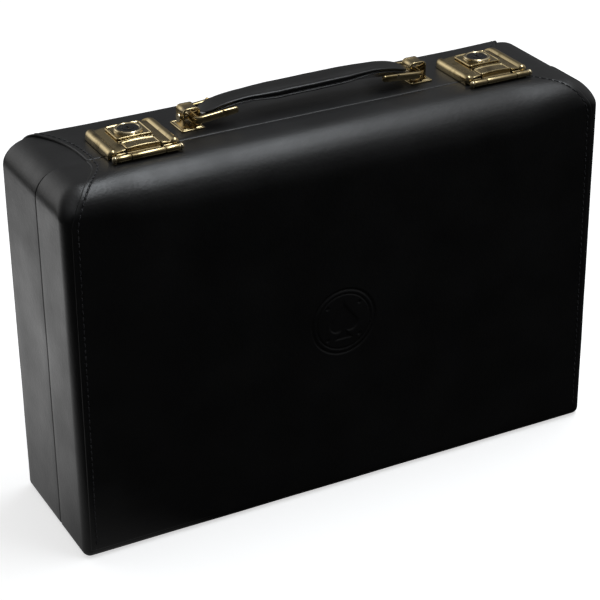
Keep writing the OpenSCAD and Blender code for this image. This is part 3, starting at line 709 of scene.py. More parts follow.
def swept(mesh, path, half, ring=16):
    """Bar with a rounded oblong section swept along a level path; half(i, t) gives its half sizes."""
    path = np.asarray(path, float)
    step = np.linalg.norm(np.diff(path, axis=0), axis=1)
    run = np.concatenate([[0], np.cumsum(step)])
    verts = []
    rows = []
    for i, p in enumerate(path):
        ahead = path[min(i + 1, len(path) - 1)] - path[max(i - 1, 0)]
        ahead = ahead / np.linalg.norm(ahead)
        across = np.cross(ahead, (0, 0, 1))
        across = across / np.linalg.norm(across)
        rise = np.cross(across, ahead)
        rows.append((p, ahead, across, rise, half(run[i], run[-1])))
    ends = ((0, -1), (len(rows) - 1, 1))
    order = [(rows[0], -1, s) for s in (0.25, 0.65, 0.9)] + [(r, 0, 1.0) for r in rows] \
        + [(rows[-1], 1, s) for s in (0.9, 0.65, 0.25)]
    for (p, ahead, across, rise, (a, b)), end, s in order:
        q = p + ahead * end * min(a, b) * math.sqrt(1 - s * s) * 0.9
        for k in range(ring):
            t = 2 * math.pi * k / ring
            c, d = math.cos(t), math.sin(t)
            c = math.copysign(abs(c) ** 0.62, c)
            d = math.copysign(abs(d) ** 0.62, d)
            verts.append(q + across * c * a * s + rise * d * b * s)
    faces = grid_faces(len(order), ring, True)
    faces.append(list(range(ring))[::-1])
    faces.append([(len(order) - 1) * ring + k for k in range(ring)])
    mesh.add(verts, faces)


def add_modifiers(piece, thick=0.0, edge=0.0, angle=35, smooth=0):
    if thick:
        s = piece.modifiers.new("thickness", "SOLIDIFY")
        s.thickness, s.offset = thick / MM, -1
        s.use_even_offset = True
    if edge:
        b = piece.modifiers.new("edge", "BEVEL")
        b.width, b.segments, b.limit_method = edge / MM, 2, "ANGLE"
        b.angle_limit = math.radians(angle)
    if smooth:
        s = piece.modifiers.new("smooth", "SUBSURF")
        s.levels = s.render_levels = smooth
    return piece


COVER_LO, COVER_HI = node_box("lock_cover_left")
BUTTON_LO, BUTTON_HI = node_box("slide_button_left")
HASP_LO, HASP_HI = node_box("hasp_left")
PLATE_LO, PLATE_HI = node_box("hasp_plate_left")
COVER_HALF = (COVER_HI[0] - COVER_LO[0]) / 2
COVER_MID = (COVER_HI[0] + COVER_LO[0]) / 2
TAB_HALF = (HASP_HI[0] - HASP_LO[0]) / 2
BUTTON_HALF = (BUTTON_HI[0] - BUTTON_LO[0]) / 2
BARREL_R = 2.2
BARREL_Y = PLATE_LO[1] + 2.8
BARREL_Z = TOP + 2.8
CROWN = COVER_HI[2]
ROLL_R = 3.5


def crown(u):
    """Height of the crowned field of a latch cover at a distance from its middle."""
    return CROWN - 1.7 * (u / 21.0) ** 2


def cover_section():
    """Half section of a cover from its outer foot over the cheek roll to the middle."""
    roll_x, roll_z = COVER_HALF - ROLL_R, TOP + 3.1
    foot = [(COVER_HALF, TOP + 0.35), (COVER_HALF, TOP + 1.8)]
    arc = [(roll_x + ROLL_R * math.cos(q), roll_z + ROLL_R * math.sin(q))
           for q in np.radians((0, 15, 32, 50, 68, 86, 104, 120))]
    field = [(u, crown(u)) for u in (18.7, 17.9, 16.5, TAB_HALF + 0.6, 10.4, 7.5, 5.3, 2.6, 0)]
    return foot + arc + field


def make_cover(name, mid, sign):
    half = cover_section()
    section = [(-u, h) for u, h in half] + half[::-1][1:]
    front, back = COVER_LO[1] + 2.6, COVER_HI[1]
    tab_end, key_mid = HASP_HI[1] + 0.4, (BUTTON_LO[1] + BUTTON_HI[1]) / 2
    rows = [front, front + 0.4, front + 1.2, -12, -8, tab_end, key_mid - 5.3, key_mid - 1.8, key_mid + 1.8,
            key_mid + 5.3, 16.5]
    turn = 5.0
    rows += [back - turn + turn * math.sin(q) for q in np.radians((0, 22, 42, 60, 75, 86))]
    verts = []
    for y in rows:
        into = max(0.0, (y - (back - turn)) / turn)
        narrow = turn * (1 - math.sqrt(max(0.0, 1 - into ** 2)))
        sink = 3.0 * (1 - math.sqrt(max(0.0, 1 - into ** 3)))
        lip = 0.35 * max(0.0, 1 - (y - front) / 1.2)
        for u, h in section:
            side = math.copysign(max(0.0, abs(u) - narrow * abs(u) / COVER_HALF), u)
            verts.append((mid + side, y, TOP + 0.3 + (h - TOP - 0.3) * (1 - sink / 6.5) - lip))
    cols = len(section)
    faces = []
    for face in grid_faces(len(rows), cols):
        us = [section[q % cols][0] * sign for q in face]
        ys = [rows[q // cols] for q in face]
        in_tab = max(abs(u) for u in us) <= TAB_HALF + 0.61 and max(ys) <= tab_end + 0.01
        in_slot = min(us) >= -5.31 and max(us) <= 10.41 and min(ys) >= key_mid - 5.31 and max(ys) <= key_mid + 5.31
        if not in_tab and not in_slot:
            faces.append(face)
    mesh = Mesh()
    mesh.add(verts, faces)
    piece = mesh.piece(name)
    if sum(f.normal.z * f.area for f in piece.data.polygons) < 0:
        piece.data.flip_normals()
    return add_modifiers(piece, 0.8, 0.25)


def make_slide(name, mid):
    """Sliding plate: a raised rounded rim round a sunken field that holds the key ring."""
    mesh = Mesh()
    y0, y1 = BUTTON_LO[1], BUTTON_HI[1]
    field = BUTTON_HI[2] - 0.95

    def ring(inset):
        return plan_ring(mid - BUTTON_HALF - 0.3, mid + BUTTON_HALF + 0.3, y0, y1, (1.6, 1.6, 2.2, 2.2), inset)

    def height(x, y):
        return field - 0.3 * ((x - mid) / BUTTON_HALF) ** 2

    nested(mesh, ring, ((0.2, -0.5), (0.0, -0.4), (0.0, 0.15), (0.12, 0.4), (0.38, 0.55), (0.7, 0.5),
                        (0.95, 0.25), (1.1, 0.05), (1.4, 0.0)), height)
    key_lo, key_hi = node_box("key_bezel_left")
    collar, key_y = float(key_hi[0] - key_lo[0]) / 2 + 0.25, float(key_hi[1] + key_lo[1]) / 2

    def collar_ring(inset):
        return plan_ring(mid - collar, mid + collar, key_y - collar, key_y + collar, (collar,) * 4, inset, 10, 1)

    nested(mesh, collar_ring, ((-0.25, -0.1), (-0.05, 0.15), (0.0, 0.6), (0.1, 0.85), (0.35, 0.94)),
           lambda x, y: field)
    return mesh.piece(name)


def make_tab(name, mid):
    """Hasp: a crowned tab with a raised rim, a cove in front of it and the middle knuckle of the barrel."""
    mesh = Mesh()
    back, front = HASP_HI[1] - 1.6, HASP_LO[1] + 8.9

    def ring(inset):
        return plan_ring(mid - TAB_HALF, mid + TAB_HALF, front, back, (0.9, 0.9, 1.6, 1.6), inset)

    def height(x, y):
        return HASP_HI[2] - 0.25 - 0.7 * ((x - mid) / TAB_HALF) ** 2

    nested(mesh, ring, ((0.3, -1.6), (0.0, -1.2), (0.0, 0.1), (0.12, 0.38), (0.4, 0.55), (0.7, 0.48),
                        (0.95, 0.2), (1.1, 0.0), (1.5, -0.05)), height)
    cove = ((front + 0.6, 6.2), (front + 0.1, 5.9), (front, 5.2), (front - 0.1, 4.2), (front - 0.2, 3.4),
            (front - 0.45, 3.1), (front - 2.0, 3.0), (front - 5.6, 3.0), (front - 5.7, 1.9), (front - 2.4, 1.9),
            (front + 0.2, 2.1), (front + 0.6, 3.4))
    us = np.linspace(-TAB_HALF + 0.5, TAB_HALF - 0.5, 11)
    verts = [(mid + u, y, TOP + h - 0.7 * (u / TAB_HALF) ** 2 * min(1, max(0, h - 2.6) / 3))
             for u in us for y, h in cove]
    faces = grid_faces(len(us), len(cove), True)
    faces += [list(range(len(cove)))[::-1], [(len(us) - 1) * len(cove) + k for k in range(len(cove))]]
    mesh.add(verts, faces)
    turned(mesh, rounded_rod(mid - TAB_HALF + 0.15, mid + TAB_HALF - 0.15, BARREL_R), (BARREL_Y, BARREL_Z))
    return mesh.piece(name, 50)


def paint_cove_shade(piece):
    """Paints the hollow between the tab's face and the barrel in darker brass: painted shade for the dark that the
    cove reflects.
    """
    # the cove faces take the darker brass as painted shade
    piece.data.materials.append(BRASS_SHADE_PAINT)
    for face in piece.data.polygons:
        c = face.center * MM
        if c.z < TOP + 5.9 and BARREL_Y + 1.0 < c.y < HASP_LO[1] + 9.6 and c.z > TOP + 2.5:
            if abs(math.hypot(c.y - BARREL_Y, c.z - BARREL_Z) - BARREL_R) > 0.25:
                face.material_index = 1


def make_hasp_plate(name, mid):
    """Fixed half of the hasp hinge: outer knuckles, an edge strip and the flange under them."""
    mesh = Mesh()
    for a, b in ((-21.7, -TAB_HALF - 0.15), (TAB_HALF + 0.15, 21.7)):
        turned(mesh, rounded_rod(mid + a, mid + b, BARREL_R), (BARREL_Y, BARREL_Z))
    for y, h, r in ((BARREL_Y + 4.4, 1.7, 0.75), (BARREL_Y + 5.8, 3.0, 0.6)):
        turned(mesh, rounded_rod(mid - 21.5, mid - TAB_HALF - 0.9, r, 0.3), (y, TOP + h))
        turned(mesh, rounded_rod(mid + TAB_HALF + 0.9, mid + 21.5, r, 0.3), (y, TOP + h))

    def ring(inset):
        return plan_ring(mid - 21.7, mid + 21.7, BARREL_Y + 0.6, PLATE_HI[1], (1.2, 1.2, 0.3, 0.3), inset)

    nested(mesh, ring, ((0.2, 0.03), (0.0, 0.2), (0.1, 0.75), (0.35, 0.9)), lambda x, y: TOP)
    return mesh.piece(name)


def make_cheek_caps(name, mid):
    """Rounded front ends of a cover's cheek rolls."""
    mesh = Mesh()
    front = COVER_LO[1] + 2.6
    dome = [(front + 0.9 - 3.0 * math.sin(q), (ROLL_R - 0.1) * math.cos(q) + 0.02)
            for q in np.radians((0, 8, 18, 32, 48, 64, 78, 88))]
    for end in (-1, 1):
        turned(mesh, dome, (mid + end * (COVER_HALF - ROLL_R), TOP + 3.3), "y")
    return mesh.piece(name)


for sign, hand in ((-1, "left"), (1, "right")):
    lo_x, hi_x = (float(box[0]) for box in node_box("lock_cover_" + hand))
    mid = (lo_x + hi_x) / 2
    put(make_cover("latch_cover_" + hand, mid, sign), BRASS, "base", ("lock_cover_" + hand,))
    put(make_cheek_caps("latch_cheeks_" + hand, mid), BRASS, "base")
    put(make_slide("latch_slide_" + hand, mid), BRASS, "button_" + hand, ("slide_button_" + hand,))
    # each tab's cove gets painted shade in darker brass
    paint_cove_shade(put(make_tab("latch_tab_" + hand, mid), BRASS, "hasp_" + hand, ("hasp_" + hand,)))
    put(make_hasp_plate("latch_hinge_" + hand, mid), BRASS, "lid", ("hasp_plate_" + hand,))
    heads = Mesh()
    for end in (-1, 1):
        knob = [(mid + end * (21.8 + a), b) for a, b in ((0, 0.9), (0.1, 1.7), (0.6, 2.25), (1.4, 2.4), (2.2, 2.1),
                                                         (2.8, 1.4), (3.0, 0.3))]
        turned(heads, knob, (BARREL_Y, BARREL_Z), "x", 20)
    put(heads.piece("latch_pin_heads_" + hand), BRIGHT, "lid")

def make_spring(name, lo, hi):
    """Coil spring that returns a slide."""
    wire, ring, turns = 0.3, 8, 5
    radius = float(hi[1] - lo[1]) / 2 - wire
    y, z = float(lo[1] + hi[1]) / 2, float(lo[2] + hi[2]) / 2
    start, end = float(lo[0]) + wire, float(hi[0]) - wire
    steps = turns * 16
    verts = []
    for i in range(steps + 1):
        q = 2 * math.pi * turns * i / steps
        out = np.array((0.0, math.cos(q), math.sin(q)))
        mid = np.array((start + (end - start) * i / steps, y, z)) + out * radius
        for k in range(ring):
            t = 2 * math.pi * k / ring
            verts.append(mid + out * wire * math.cos(t) + np.array((wire * math.sin(t), 0, 0)))
    mesh = Mesh()
    faces = grid_faces(steps + 1, ring, True)
    faces += [list(range(ring))[::-1], [steps * ring + k for k in range(ring)]]
    mesh.add(verts, faces)
    return mesh.piece(name)


for sign, hand in ((-1, "left"), (1, "right")):
    lo, hi = node_box("button_spring_" + hand)
    spring = put(make_spring("slide_spring_" + hand, lo, hi), STEEL, "base",
                 ("button_spring_" + hand,))
    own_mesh(spring)

HANDLE_MID = float(node_box("handle_core")[0][0] + node_box("handle_core")[1][0]) / 2
HANDLE_Y = float(node_box("handle_core")[0][1] + node_box("handle_core")[1][1]) / 2
PIVOT_Z = float(node_box("handle_pivot_left")[0][2] + node_box("handle_pivot_left")[1][2]) / 2
FORK_LO, FORK_HI = node_box("handle_fork_right")
FORK_SLOPE = math.tan(math.radians(5))


def make_fork(name, sign):
    """U-shaped rounded bar: cross bar on the pivot, one arm along each edge of the grip."""
    arm = (FORK_HI[1] - FORK_LO[1]) / 2 - 1.5
    out, inner = FORK_HI[0] - HANDLE_MID - 2.6, FORK_LO[0] - HANDLE_MID + 1.2
    bend = 3.2
    flat = [(x, -arm) for x in np.linspace(inner, out - bend, 12)]
    flat += [(out - bend + bend * math.sin(q), -arm + bend * (1 - math.cos(q))) for q in np.radians((30, 60, 90))]
    flat += [(out, y) for y in np.linspace(-arm + bend + 1, 0, 5)]
    flat += [(x, -y) for x, y in flat[::-1][1:]]
    path = [(HANDLE_MID + sign * x, HANDLE_Y + y, PIVOT_Z + (out - x) * FORK_SLOPE) for x, y in flat]

    def half(run, total):
        near_bar = 1 - smoothstep(abs(run - total / 2) / 14.0)
        tip = smoothstep(min(run, total - run) / 8.0)
        return 1.95 + 0.65 * near_bar, 2.35 + 0.25 * tip

    mesh = Mesh()
    swept(mesh, path, half)
    return add_modifiers(mesh.piece(name), smooth=1)


def make_bracket(name, sign):
    """Stepped base plate with a rounded bridge over the fork's cross bar."""
    lo, hi = node_box("handle_plate_" + ("left" if sign < 0 else "right"))
    mesh = Mesh()

    def ring(inset):
        return plan_ring(float(lo[0]), float(hi[0]), float(lo[1]), float(hi[1]), (1.2,) * 4, inset)

    nested(mesh, ring, ((0.15, 0.03), (0.0, 0.2), (0.0, 0.9), (0.3, 1.25), (0.9, 1.3), (1.2, 1.05), (1.5, 1.0),
                        (1.9, 1.35), (2.4, 1.5)), lambda x, y: TOP)
    x_far, x_near = 92.0, 79.5
    a, b = x_near + 0.75, x_far - 0.75
    top, corner = float(hi[2]) - 0.75, 2.2
    track = [(a, TOP + 0.6), (a, top - corner - 5), (a, top - corner)]
    track += [(a + corner * (1 - math.cos(q)), top - corner + corner * math.sin(q)) for q in np.radians((30, 60, 90))]
    track += [(b - corner + corner * math.sin(q), top - corner * (1 - math.cos(q))) for q in np.radians((0, 30, 60, 90))]
    track += [(b, top - corner - 5), (b, TOP + 0.6)]
    loop = ((-6.0, -0.3), (-5.7, -0.72), (-5.0, -0.75), (0, -0.75), (5.0, -0.75), (5.7, -0.72), (6.0, -0.3),
            (6.0, 0.3), (5.7, 0.72), (5.0, 0.75), (4.4, 0.45), (0, 0.35), (-4.4, 0.45), (-5.0, 0.75), (-5.7, 0.72),
            (-6.0, 0.3))
    verts = []
    for i, (x, z) in enumerate(track):
        before, after = track[max(i - 1, 0)], track[min(i + 1, len(track) - 1)]
        dx, dz = after[0] - before[0], after[1] - before[1]
        size = math.hypot(dx, dz)
        nx, nz = -dz / size, dx / size
        for y, out in loop:
            verts.append((HANDLE_MID + sign * (x + nx * out), HANDLE_Y + y, z + nz * out))
    faces = grid_faces(len(track), len(loop), True)
    mesh.add(verts, faces)
    return mesh.piece(name, 60)


def grip_shape(x):
    """Half width, top, thickness and swell of the padded middle of the grip at one place along it."""
    reach = 78.5
    s = min(abs(x) / reach, 1.0)
    tip = max(0.0, (abs(x) - (reach - 8)) / 8)
    swell = 1 - float(smoothstep((abs(x) - 22) / 30))
    width = (8.3 + 1.9 * swell) * math.sqrt(max(0.02, 1 - min(tip, 0.995) ** 2.4))
    top = PIVOT_Z + 3.2 + 6.6 * (1 - s ** 6) + 0.6 * x / 60
    thick = (4.3 + 2.2 * swell) * (1 - 0.35 * min(tip, 1) ** 2)
    return width, top, thick, swell


GRIP_SECTION = ((0, 0.01), (0.30, 0.02), (0.56, 0.05), (0.74, 0.09), (0.82, 0.06), (0.90, 0.05), (0.965, 0.11),
                (0.995, 0.22), (0.985, 0.36), (0.95, 0.50),
                (0.90, 0.60), (0.92, 0.67), (1.0, 0.72), (1.03, 0.80), (1.0, 0.89), (0.90, 0.94), (0.5, 1.0),
                (0, 1.0))


def make_grip():
    """Padded leather grip: a crowned pad sewn to a flatter under layer, narrowing to rounded tabs."""
    half = list(GRIP_SECTION)
    loop = half + [(-a, b) for a, b in half[::-1][1:-1]]
    xs = [-78.5, -78.1, -77.2, -75.8, -74, -71.5] + list(np.linspace(-68.5, 68.5, 54)) \
        + [71.5, 74, 75.8, 77.2, 78.1, 78.5]
    verts = []
    for x in xs:
        w, top, thick, swell = grip_shape(x)
        wave = 0.12 * math.sin(x * 0.21 + 0.6) + 0.08 * math.sin(x * 0.47)
        for a, b in loop:
            verts.append((HANDLE_MID + x, HANDLE_Y + a * (w + wave), top - b * thick - 0.5 * a * a * (1 - b)))
    n = len(loop)
    faces = grid_faces(len(xs), n, True)
    faces += [list(range(n))[::-1], [(len(xs) - 1) * n + k for k in range(n)]]
    mesh = Mesh()
    mesh.add(verts, faces)
    return add_modifiers(mesh.piece("grip_pad"), smooth=1)


def make_grip_stitches():
    mesh = Mesh()
    for side in (-1, 1):
        for x in np.arange(-68, 66, 4.1):
            ends = []
            for at in (x, x + 2.9):
                w, top, thick, swell = grip_shape(at)
                ends.append(np.array((HANDLE_MID + at, HANDLE_Y + side * 0.915 * w, top - 0.60 * thick)))
            v, f = capsule(ends[0], ends[1], np.array((0, side * 1.0, 0.0)), 0.28)
            mesh.add(v, f)
    return mesh.piece("grip_stitches")


put(make_grip(), GRIP, "handle", ("handle_leather",))
put(make_grip_stitches(), THREAD, "handle")
for sign, hand in ((-1, "left"), (1, "right")):
    put(make_fork("fork_" + hand, sign), BRASS, "handle", ("handle_fork_" + hand,))
    put(make_bracket("bracket_" + hand, sign), BRASS, "base", ("handle_plate_" + hand,))


# ---------------------------------------------------------------- build: inside

LINING_LO, LINING_HI = node_box("base_lining")
LINING_T = 1.0
LINING_CORNERS = (1.6, 1.6, 9.5, 9.5)
RIM_DEPTH = 14.0


def make_lining(name, side):
    """Velvet glued to the walls and floor of one half, with soft corners and a slightly uneven lay."""
    lo, hi = node_box(("lid" if side < 0 else "base") + "_lining")
    rim, floor = (float(hi[1]), float(lo[1]) + LINING_T) if side < 0 else (float(lo[1]), float(hi[1]) - LINING_T)

    def ring(inset):
        return plan_ring(float(lo[0]), float(hi[0]), float(lo[2]), float(hi[2]), LINING_CORNERS, inset, 6, 16)

    def height(x, z):
        return 0.14 * (1 + math.sin(x * 0.05 + 0.4) * math.sin(z * 0.07 + 1.1))

    deep = abs(floor - rim)
    profile = ((0.05, 0.4), (0.15, 0.12), (0.5, 0.0), (0.85, 0.12), (1.0, 0.5), (1.05, deep * 0.3),
               (1.0, deep * 0.65), (1.05, deep - 4.0), (1.4, deep - 2.2), (2.4, deep - 0.9), (4.2, deep - 0.35),
               (8.0, deep - 0.3), (20.0, deep - 0.3))
    mesh = Mesh()
    nested(mesh, ring, profile, height, lambda p: (p[0], rim + side * p[2], p[1]))
    return mesh.piece(name)


def make_rim(name, side):
    """The wooden wall of one half where it shows between the leather and the velvet."""
    pts, nrm = outline()
    inner = plan_ring(float(LINING_LO[0]) + 0.05, float(LINING_HI[0]) - 0.05, float(LINING_LO[2]) + 0.05,
                      float(LINING_HI[2]) - 0.05, LINING_CORNERS, 0.0, 6, 16)
    hub = np.array([0.0, TOP / 2])
    turn = [math.atan2(z - hub[1], x - hub[0]) for x, z in inner]
    order = np.argsort(turn)
    angles, ring = np.array(turn)[order], np.array(inner)[order]
    outer = pts - nrm * 2.4
    at = np.arctan2(outer[:, 1] - hub[1], outer[:, 0] - hub[0])
    near = np.stack([np.interp(at, np.append(angles, angles[0] + 2 * math.pi),
                               np.append(ring[:, k], ring[0, k]), period=2 * math.pi) for k in (0, 1)], 1)
    low = pts[:, 1] < 3.1
    face = np.where(low, 3.9, 0.5)
    rows = []
    for share, drop in ((0.0, RIM_DEPTH), (0.0, 0.6), (0.06, 0.12), (0.15, 0.0), (0.85, 0.0), (0.94, 0.12),
                        (1.0, 0.6), (1.0, RIM_DEPTH)):
        p = outer + (near - outer) * share
        rows.append(np.stack([p[:, 0], Y_SPLIT + side * (face + drop), p[:, 1]], 1))
    verts = np.array(rows)
    mesh = Mesh()
    mesh.add(verts.reshape(-1, 3), grid_faces(verts.shape[0], verts.shape[1], True))
    return mesh.piece(name)


PAD_CELL = 6.0
PAD_SHRINK = 2.0
PAD_CAP = 5.0


def pad_grid():
    """Slab of even cells for the lid pad: points, faces, and the points held by the backing and the tufts."""
    lo, hi = node_box("lid_pad")
    xs = np.linspace(lo[0] + PAD_SHRINK, hi[0] - PAD_SHRINK, int((hi[0] - lo[0]) / PAD_CELL) + 1)
    zs = np.linspace(lo[2] + PAD_SHRINK, hi[2] - PAD_SHRINK, int((hi[2] - lo[2]) / PAD_CELL) + 1)
    back, front = float(lo[1]) + 0.2, float(hi[1]) - 2.2
    cols, rows = len(xs), len(zs)
    verts = [(x, y, z) for y in (back, front) for z in zs for x in xs]
    faces = grid_faces(rows, cols) + grid_faces(rows, cols, start=rows * cols)
    border = [j for j in range(cols)] + [i * cols + cols - 1 for i in range(1, rows)] \
        + [(rows - 1) * cols + j for j in range(cols - 2, -1, -1)] + [i * cols for i in range(rows - 2, 0, -1)]
    for a, b in zip(border, border[1:] + border[:1]):
        faces.append([a, b, b + rows * cols, a + rows * cols])
    tufts = []
    for row, z in enumerate(np.linspace(zs[0], zs[-1], 5)[1:-1]):
        count = 4 if row % 2 == 0 else 3
        for k in range(count):
            x = xs[0] + (xs[-1] - xs[0]) * (k + 1) / (count + 1)
            i, j = int(np.argmin(abs(zs - z))), int(np.argmin(abs(xs - x)))
            tufts.append(rows * cols + i * cols + j)
    return verts, faces, list(range(rows * cols)), tufts


def swell_pad(piece, held):
    """Cloth pressure fills the pad between its backing and its tufts; no point moves further than the cap."""
    group = piece.vertex_groups.new(name="held")
    group.add(held, 1.0, "REPLACE")
    cloth = piece.modifiers.new("cloth", "CLOTH")
    cloth.settings.vertex_group_mass = "held"
    cloth.settings.use_pressure = True
    cloth.settings.uniform_pressure_force = 4
    cloth.settings.effector_weights.gravity = 0
    cloth.settings.bending_stiffness = 0.6
    cloth.point_cache.frame_start, cloth.point_cache.frame_end = 1, 20
    scene = bpy.context.scene
    for step in range(1, 21):
        scene.frame_set(step)
    shape = piece.evaluated_get(bpy.context.evaluated_depsgraph_get()).data
    moved = np.array([v.co[:] for v in shape.vertices])
    rest = np.array([v.co[:] for v in piece.data.vertices])
    shift = moved - rest
    size = np.linalg.norm(shift, axis=1, keepdims=True)
    shift *= np.minimum(1, PAD_CAP / MM / np.maximum(size, 1e-9))
    piece.modifiers.remove(cloth)
    piece.vertex_groups.remove(group)
    for v, p in zip(piece.data.vertices, rest + shift):
        v.co = p
    scene.frame_set(1)


def make_pad():
    verts, faces, backing, tufts = pad_grid()
    mesh = Mesh()
    mesh.add(verts, faces)
    piece = mesh.piece("lid_cushion")
    swell_pad(piece, backing + tufts)
    return add_modifiers(piece, smooth=1), [verts[t] for t in tufts]


def make_tufts(places):
    """Covered buttons that draw the lid pad in."""
    mesh = Mesh()
    for x, y, z in places:
        dome = ((0.0, 4.2), (0.5, 4.6), (1.1, 4.4), (1.7, 3.5), (2.1, 2.0), (2.25, 0.2))
        count = 20
        verts = [(x + r * math.cos(2 * math.pi * k / count), y + out, z + r * math.sin(2 * math.pi * k / count))
                 for out, r in dome for k in range(count)]
        mesh.add(verts, grid_faces(len(dome), count, True) + [[5 * count + k for k in range(count)]])
    return mesh.piece("lid_cushion_buttons")


for side, body in ((-1, "lid"), (1, "base")):
    put(make_lining(body + "_velvet", side), VELVET, body, (body + "_lining",))
    put(make_rim(body + "_rim", side), WOOD, body, (body + "_frame",))
pad, tuft_places = make_pad()
put(pad, VELVET, "lid", ("lid_pad",))
put(make_tufts(tuft_places), VELVET, "lid")


# ---------------------------------------------------------------- carried-over CAD nodes

def finish_node(node, mat, bevel=0.0, angle=30):
    piece = frame["nodes"][node]
    paint(piece, mat)
    weld = piece.modifiers.new("weld", "WELD")
    weld.merge_threshold = 0.000004
    if bevel:
        b = piece.modifiers.new("bevel", "BEVEL")
        b.width = bevel / MM
        b.segments = 3
        b.limit_method = "ANGLE"
        b.angle_limit = math.radians(angle)
        b.harden_normals = False
        b.use_clamp_overlap = True
    piece.data.shade_smooth()
    w = piece.modifiers.new("normals", "WEIGHTED_NORMAL")
    w.keep_sharp = False
    w.weight = 80
    return piece


BY_MATERIAL = (
        (BRIGHT, 0.15, ("key_bezel", "hasp_pin", "handle_pivot", "stay_stud", "stay_pivot")),
    (BLACK, 0.15, ("key_cylinder", "key_plug")),
    (BRASS_FIELD, 0.2, ("lock_plate", "stay_arm")),
    (STEEL, 0.15, ("latch_bolt",)),
)
for mat, width, names in BY_MATERIAL:
    for n in names:
        for hand in ("_left", "_right"):
            finish_node(n + hand, mat, width)
for n, mat, width in (("base_panel", WOOD, 0.2),
                      ("lid_panel", WOOD, 0.2), ("dust_lip", BRASS, 0.3), ("chip_tray", VELVET, 0.9),
                      ("tray_bearers", WOOD, 0.5), ("hinge_leaf_base", BRASS, 0.12), ("hinge_leaf_lid", BRASS, 0.12),
                      ("hinge_pin", STEEL, 0.1), ("hinge_screws_base", BRIGHT, 0.1), ("hinge_screws_lid", BRIGHT, 0.1),
                      ("latch_screws", BRIGHT, 0.2), ("hasp_plate_screws", BRIGHT, 0.2), ("handle_core", STEEL, 0.1),
                      ("handle_rivets", BRIGHT, 0.15), ("handle_screws", BRIGHT, 0.2),
                      ("card_tray", VELVET, 0.9)):
    finish_node(n, mat, width)


# ---------------------------------------------------------------- stage, light and camera

def drop_floor(piece):
    """Keeps the floor under the lid, whose far end swings below the standing case as it opens."""
    track = piece.driver_add("location", 2).driver
    angle = track.variables.new()
    angle.name, angle.type = "turn", "TRANSFORMS"
    angle.targets[0].id = frame["bodies"]["lid"]
    angle.targets[0].transform_type = "ROT_X"
    angle.targets[0].transform_space = "WORLD_SPACE"
    track.expression = "-%.4f * abs(sin(turn)) - %.4f * max(0, -cos(turn))" % (DEPTH[-1] / MM, TOP / MM)


def add_floor():
    """Pale floor. Reflections see a paler patch beside the case instead, as from a card lying there."""
    marks = [-2.4, -1.2, 0, 1.2, 2.4]
    piece = new_piece("floor", [(x * MM, y * MM, -0.05) for y in marks for x in marks], grid_faces(5, 5))
    m, nodes, links, shader, at = material("floor_pale")
    shader.inputs["Base Color"].default_value = (0.86, 0.86, 0.86, 1)
    shader.inputs["Roughness"].default_value = 0.9
    shader.inputs["Specular IOR Level"].default_value = 0.0
    shader.inputs["Emission Color"].default_value = (1, 1, 1, 1)
    shader.inputs["Emission Strength"].default_value = FLOOR_GLOW
    card = nodes.new("ShaderNodeEmission")
    spread = nodes.new("ShaderNodeVectorMath")
    spread.operation = "DISTANCE"
    links.new(at, spread.inputs[0])
    spread.inputs[1].default_value = CARD_AT
    fade = to_range(nodes, links, spread.outputs["Value"], CARD_GLOW, 0.02, 0.12, CARD_REACH)
    links.new(fade, card.inputs["Strength"])
    path = nodes.new("ShaderNodeLightPath")
    mix = nodes.new("ShaderNodeMixShader")
    links.new(path.outputs["Is Camera Ray"], mix.inputs["Fac"])
    links.new(card.outputs["Emission"], mix.inputs[1])
    links.new(shader.outputs["BSDF"], mix.inputs[2])
    links.new(mix.outputs["Shader"], nodes["Material Output"].inputs["Surface"])
    paint(piece, m)
    piece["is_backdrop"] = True
    drop_floor(piece)


FLOOR_GLOW = 0.62
CARD_AT = (-0.45, 0.3, 0.0)
CARD_REACH = 0.5
CARD_GLOW = 1.25
add_floor()


def add_area(name, at, toward, size, power, colour=(1, 1, 1), glossy=True):
    light = bpy.data.lights.new(name, "AREA")
    light.shape = "RECTANGLE"
    light.size, light.size_y = size
    light.energy = power
    light.color = colour
    o = bpy.data.objects.new(name, light)
    o.location = at
    o.rotation_mode = "QUATERNION"
    o.rotation_quaternion = (Vector(toward) - Vector(at)).to_track_quat("-Z", "Y")
    o.visible_glossy = glossy
    bpy.context.scene.collection.objects.link(o)
    return o


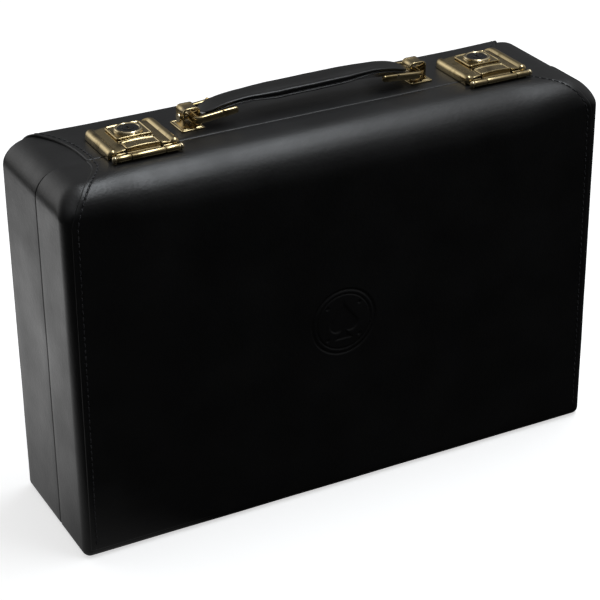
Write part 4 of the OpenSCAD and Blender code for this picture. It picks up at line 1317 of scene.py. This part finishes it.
def world_light():
    """Plain soft studio surroundings: white to the camera, and smooth bright and dim zones for the surfaces."""
    world = bpy.data.worlds.new("studio")
    bpy.context.scene.world = world
    world.use_nodes = True
    nodes, links = world.node_tree.nodes, world.node_tree.links
    back = nodes["Background"]
    coords = nodes.new("ShaderNodeTexCoord")
    path = nodes.new("ShaderNodeLightPath")

    def lobe(direction, power, strength):
        dot = nodes.new("ShaderNodeVectorMath")
        dot.operation = "DOT_PRODUCT"
        links.new(coords.outputs["Generated"], dot.inputs[0])
        dot.inputs[1].default_value = Vector(direction).normalized()
        up = combine(nodes, links, "MAXIMUM", dot.outputs["Value"], 0.0)
        return combine(nodes, links, "MULTIPLY", combine(nodes, links, "POWER", up, power), strength)

    total = 0.05
    for direction, power, strength in WORLD_LOBES:
        total = combine(nodes, links, "ADD", lobe(direction, power, strength), total)
    seen = path.outputs["Is Camera Ray"]
    value = combine(nodes, links, "ADD", combine(nodes, links, "MULTIPLY", seen, 1.0),
                    combine(nodes, links, "MULTIPLY", combine(nodes, links, "SUBTRACT", 1.0, seen), total))
    links.new(value, back.inputs["Color"])


# direction, tightness and strength of each soft zone of the surroundings
WORLD_LOBES = (((0.25, -0.05, 0.97), 7.0, 1.0), ((0.41, 0.79, 0.46), 3.0, 0.04), ((-0.456, 0.787, 0.397), 10.0, 1.2), ((0.95, 0.1, 0.3), 5.0, 0.3))
world_light()

AZ, EL, ROLL = math.radians(-27.336), math.radians(27.694), math.radians(-0.683)
TARGET = Vector((-0.000711, 0.013898, 0.115988))
DISTANCE = 1.4221
camera_data = bpy.data.cameras.new("camera")
camera_data.lens, camera_data.sensor_width = 119.98, 36.0
camera_data.clip_start, camera_data.clip_end = 0.05, 20
camera = bpy.data.objects.new("camera", camera_data)
bpy.context.scene.collection.objects.link(camera)
bpy.context.scene.camera = camera
away = Vector((math.sin(AZ) * math.cos(EL), -math.cos(AZ) * math.cos(EL), math.sin(EL)))
right = (-away).cross(Vector((0, 0, 1))).normalized()
up = right.cross(-away)
right, up = (right * math.cos(ROLL) + up * math.sin(ROLL), up * math.cos(ROLL) - right * math.sin(ROLL))
camera.matrix_world = Matrix.Translation(TARGET + away * DISTANCE) @ Matrix(
    ((right.x, up.x, away.x), (right.y, up.y, away.y), (right.z, up.z, away.z))).to_4x4()

add_area("overhead", (0.35, -0.05, 1.5), (0.05, 0, 0.2), (1.3, 0.3), 9, (0.9, 0.95, 1.0))
add_area("back_left", (-1.2, 1.6, 0.6), (0, 0, 0.2), (1.4, 1.4), 1.2, (1.0, 0.98, 0.94))
bpy.context.scene.view_settings.view_transform = "Standard"

lo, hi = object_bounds()
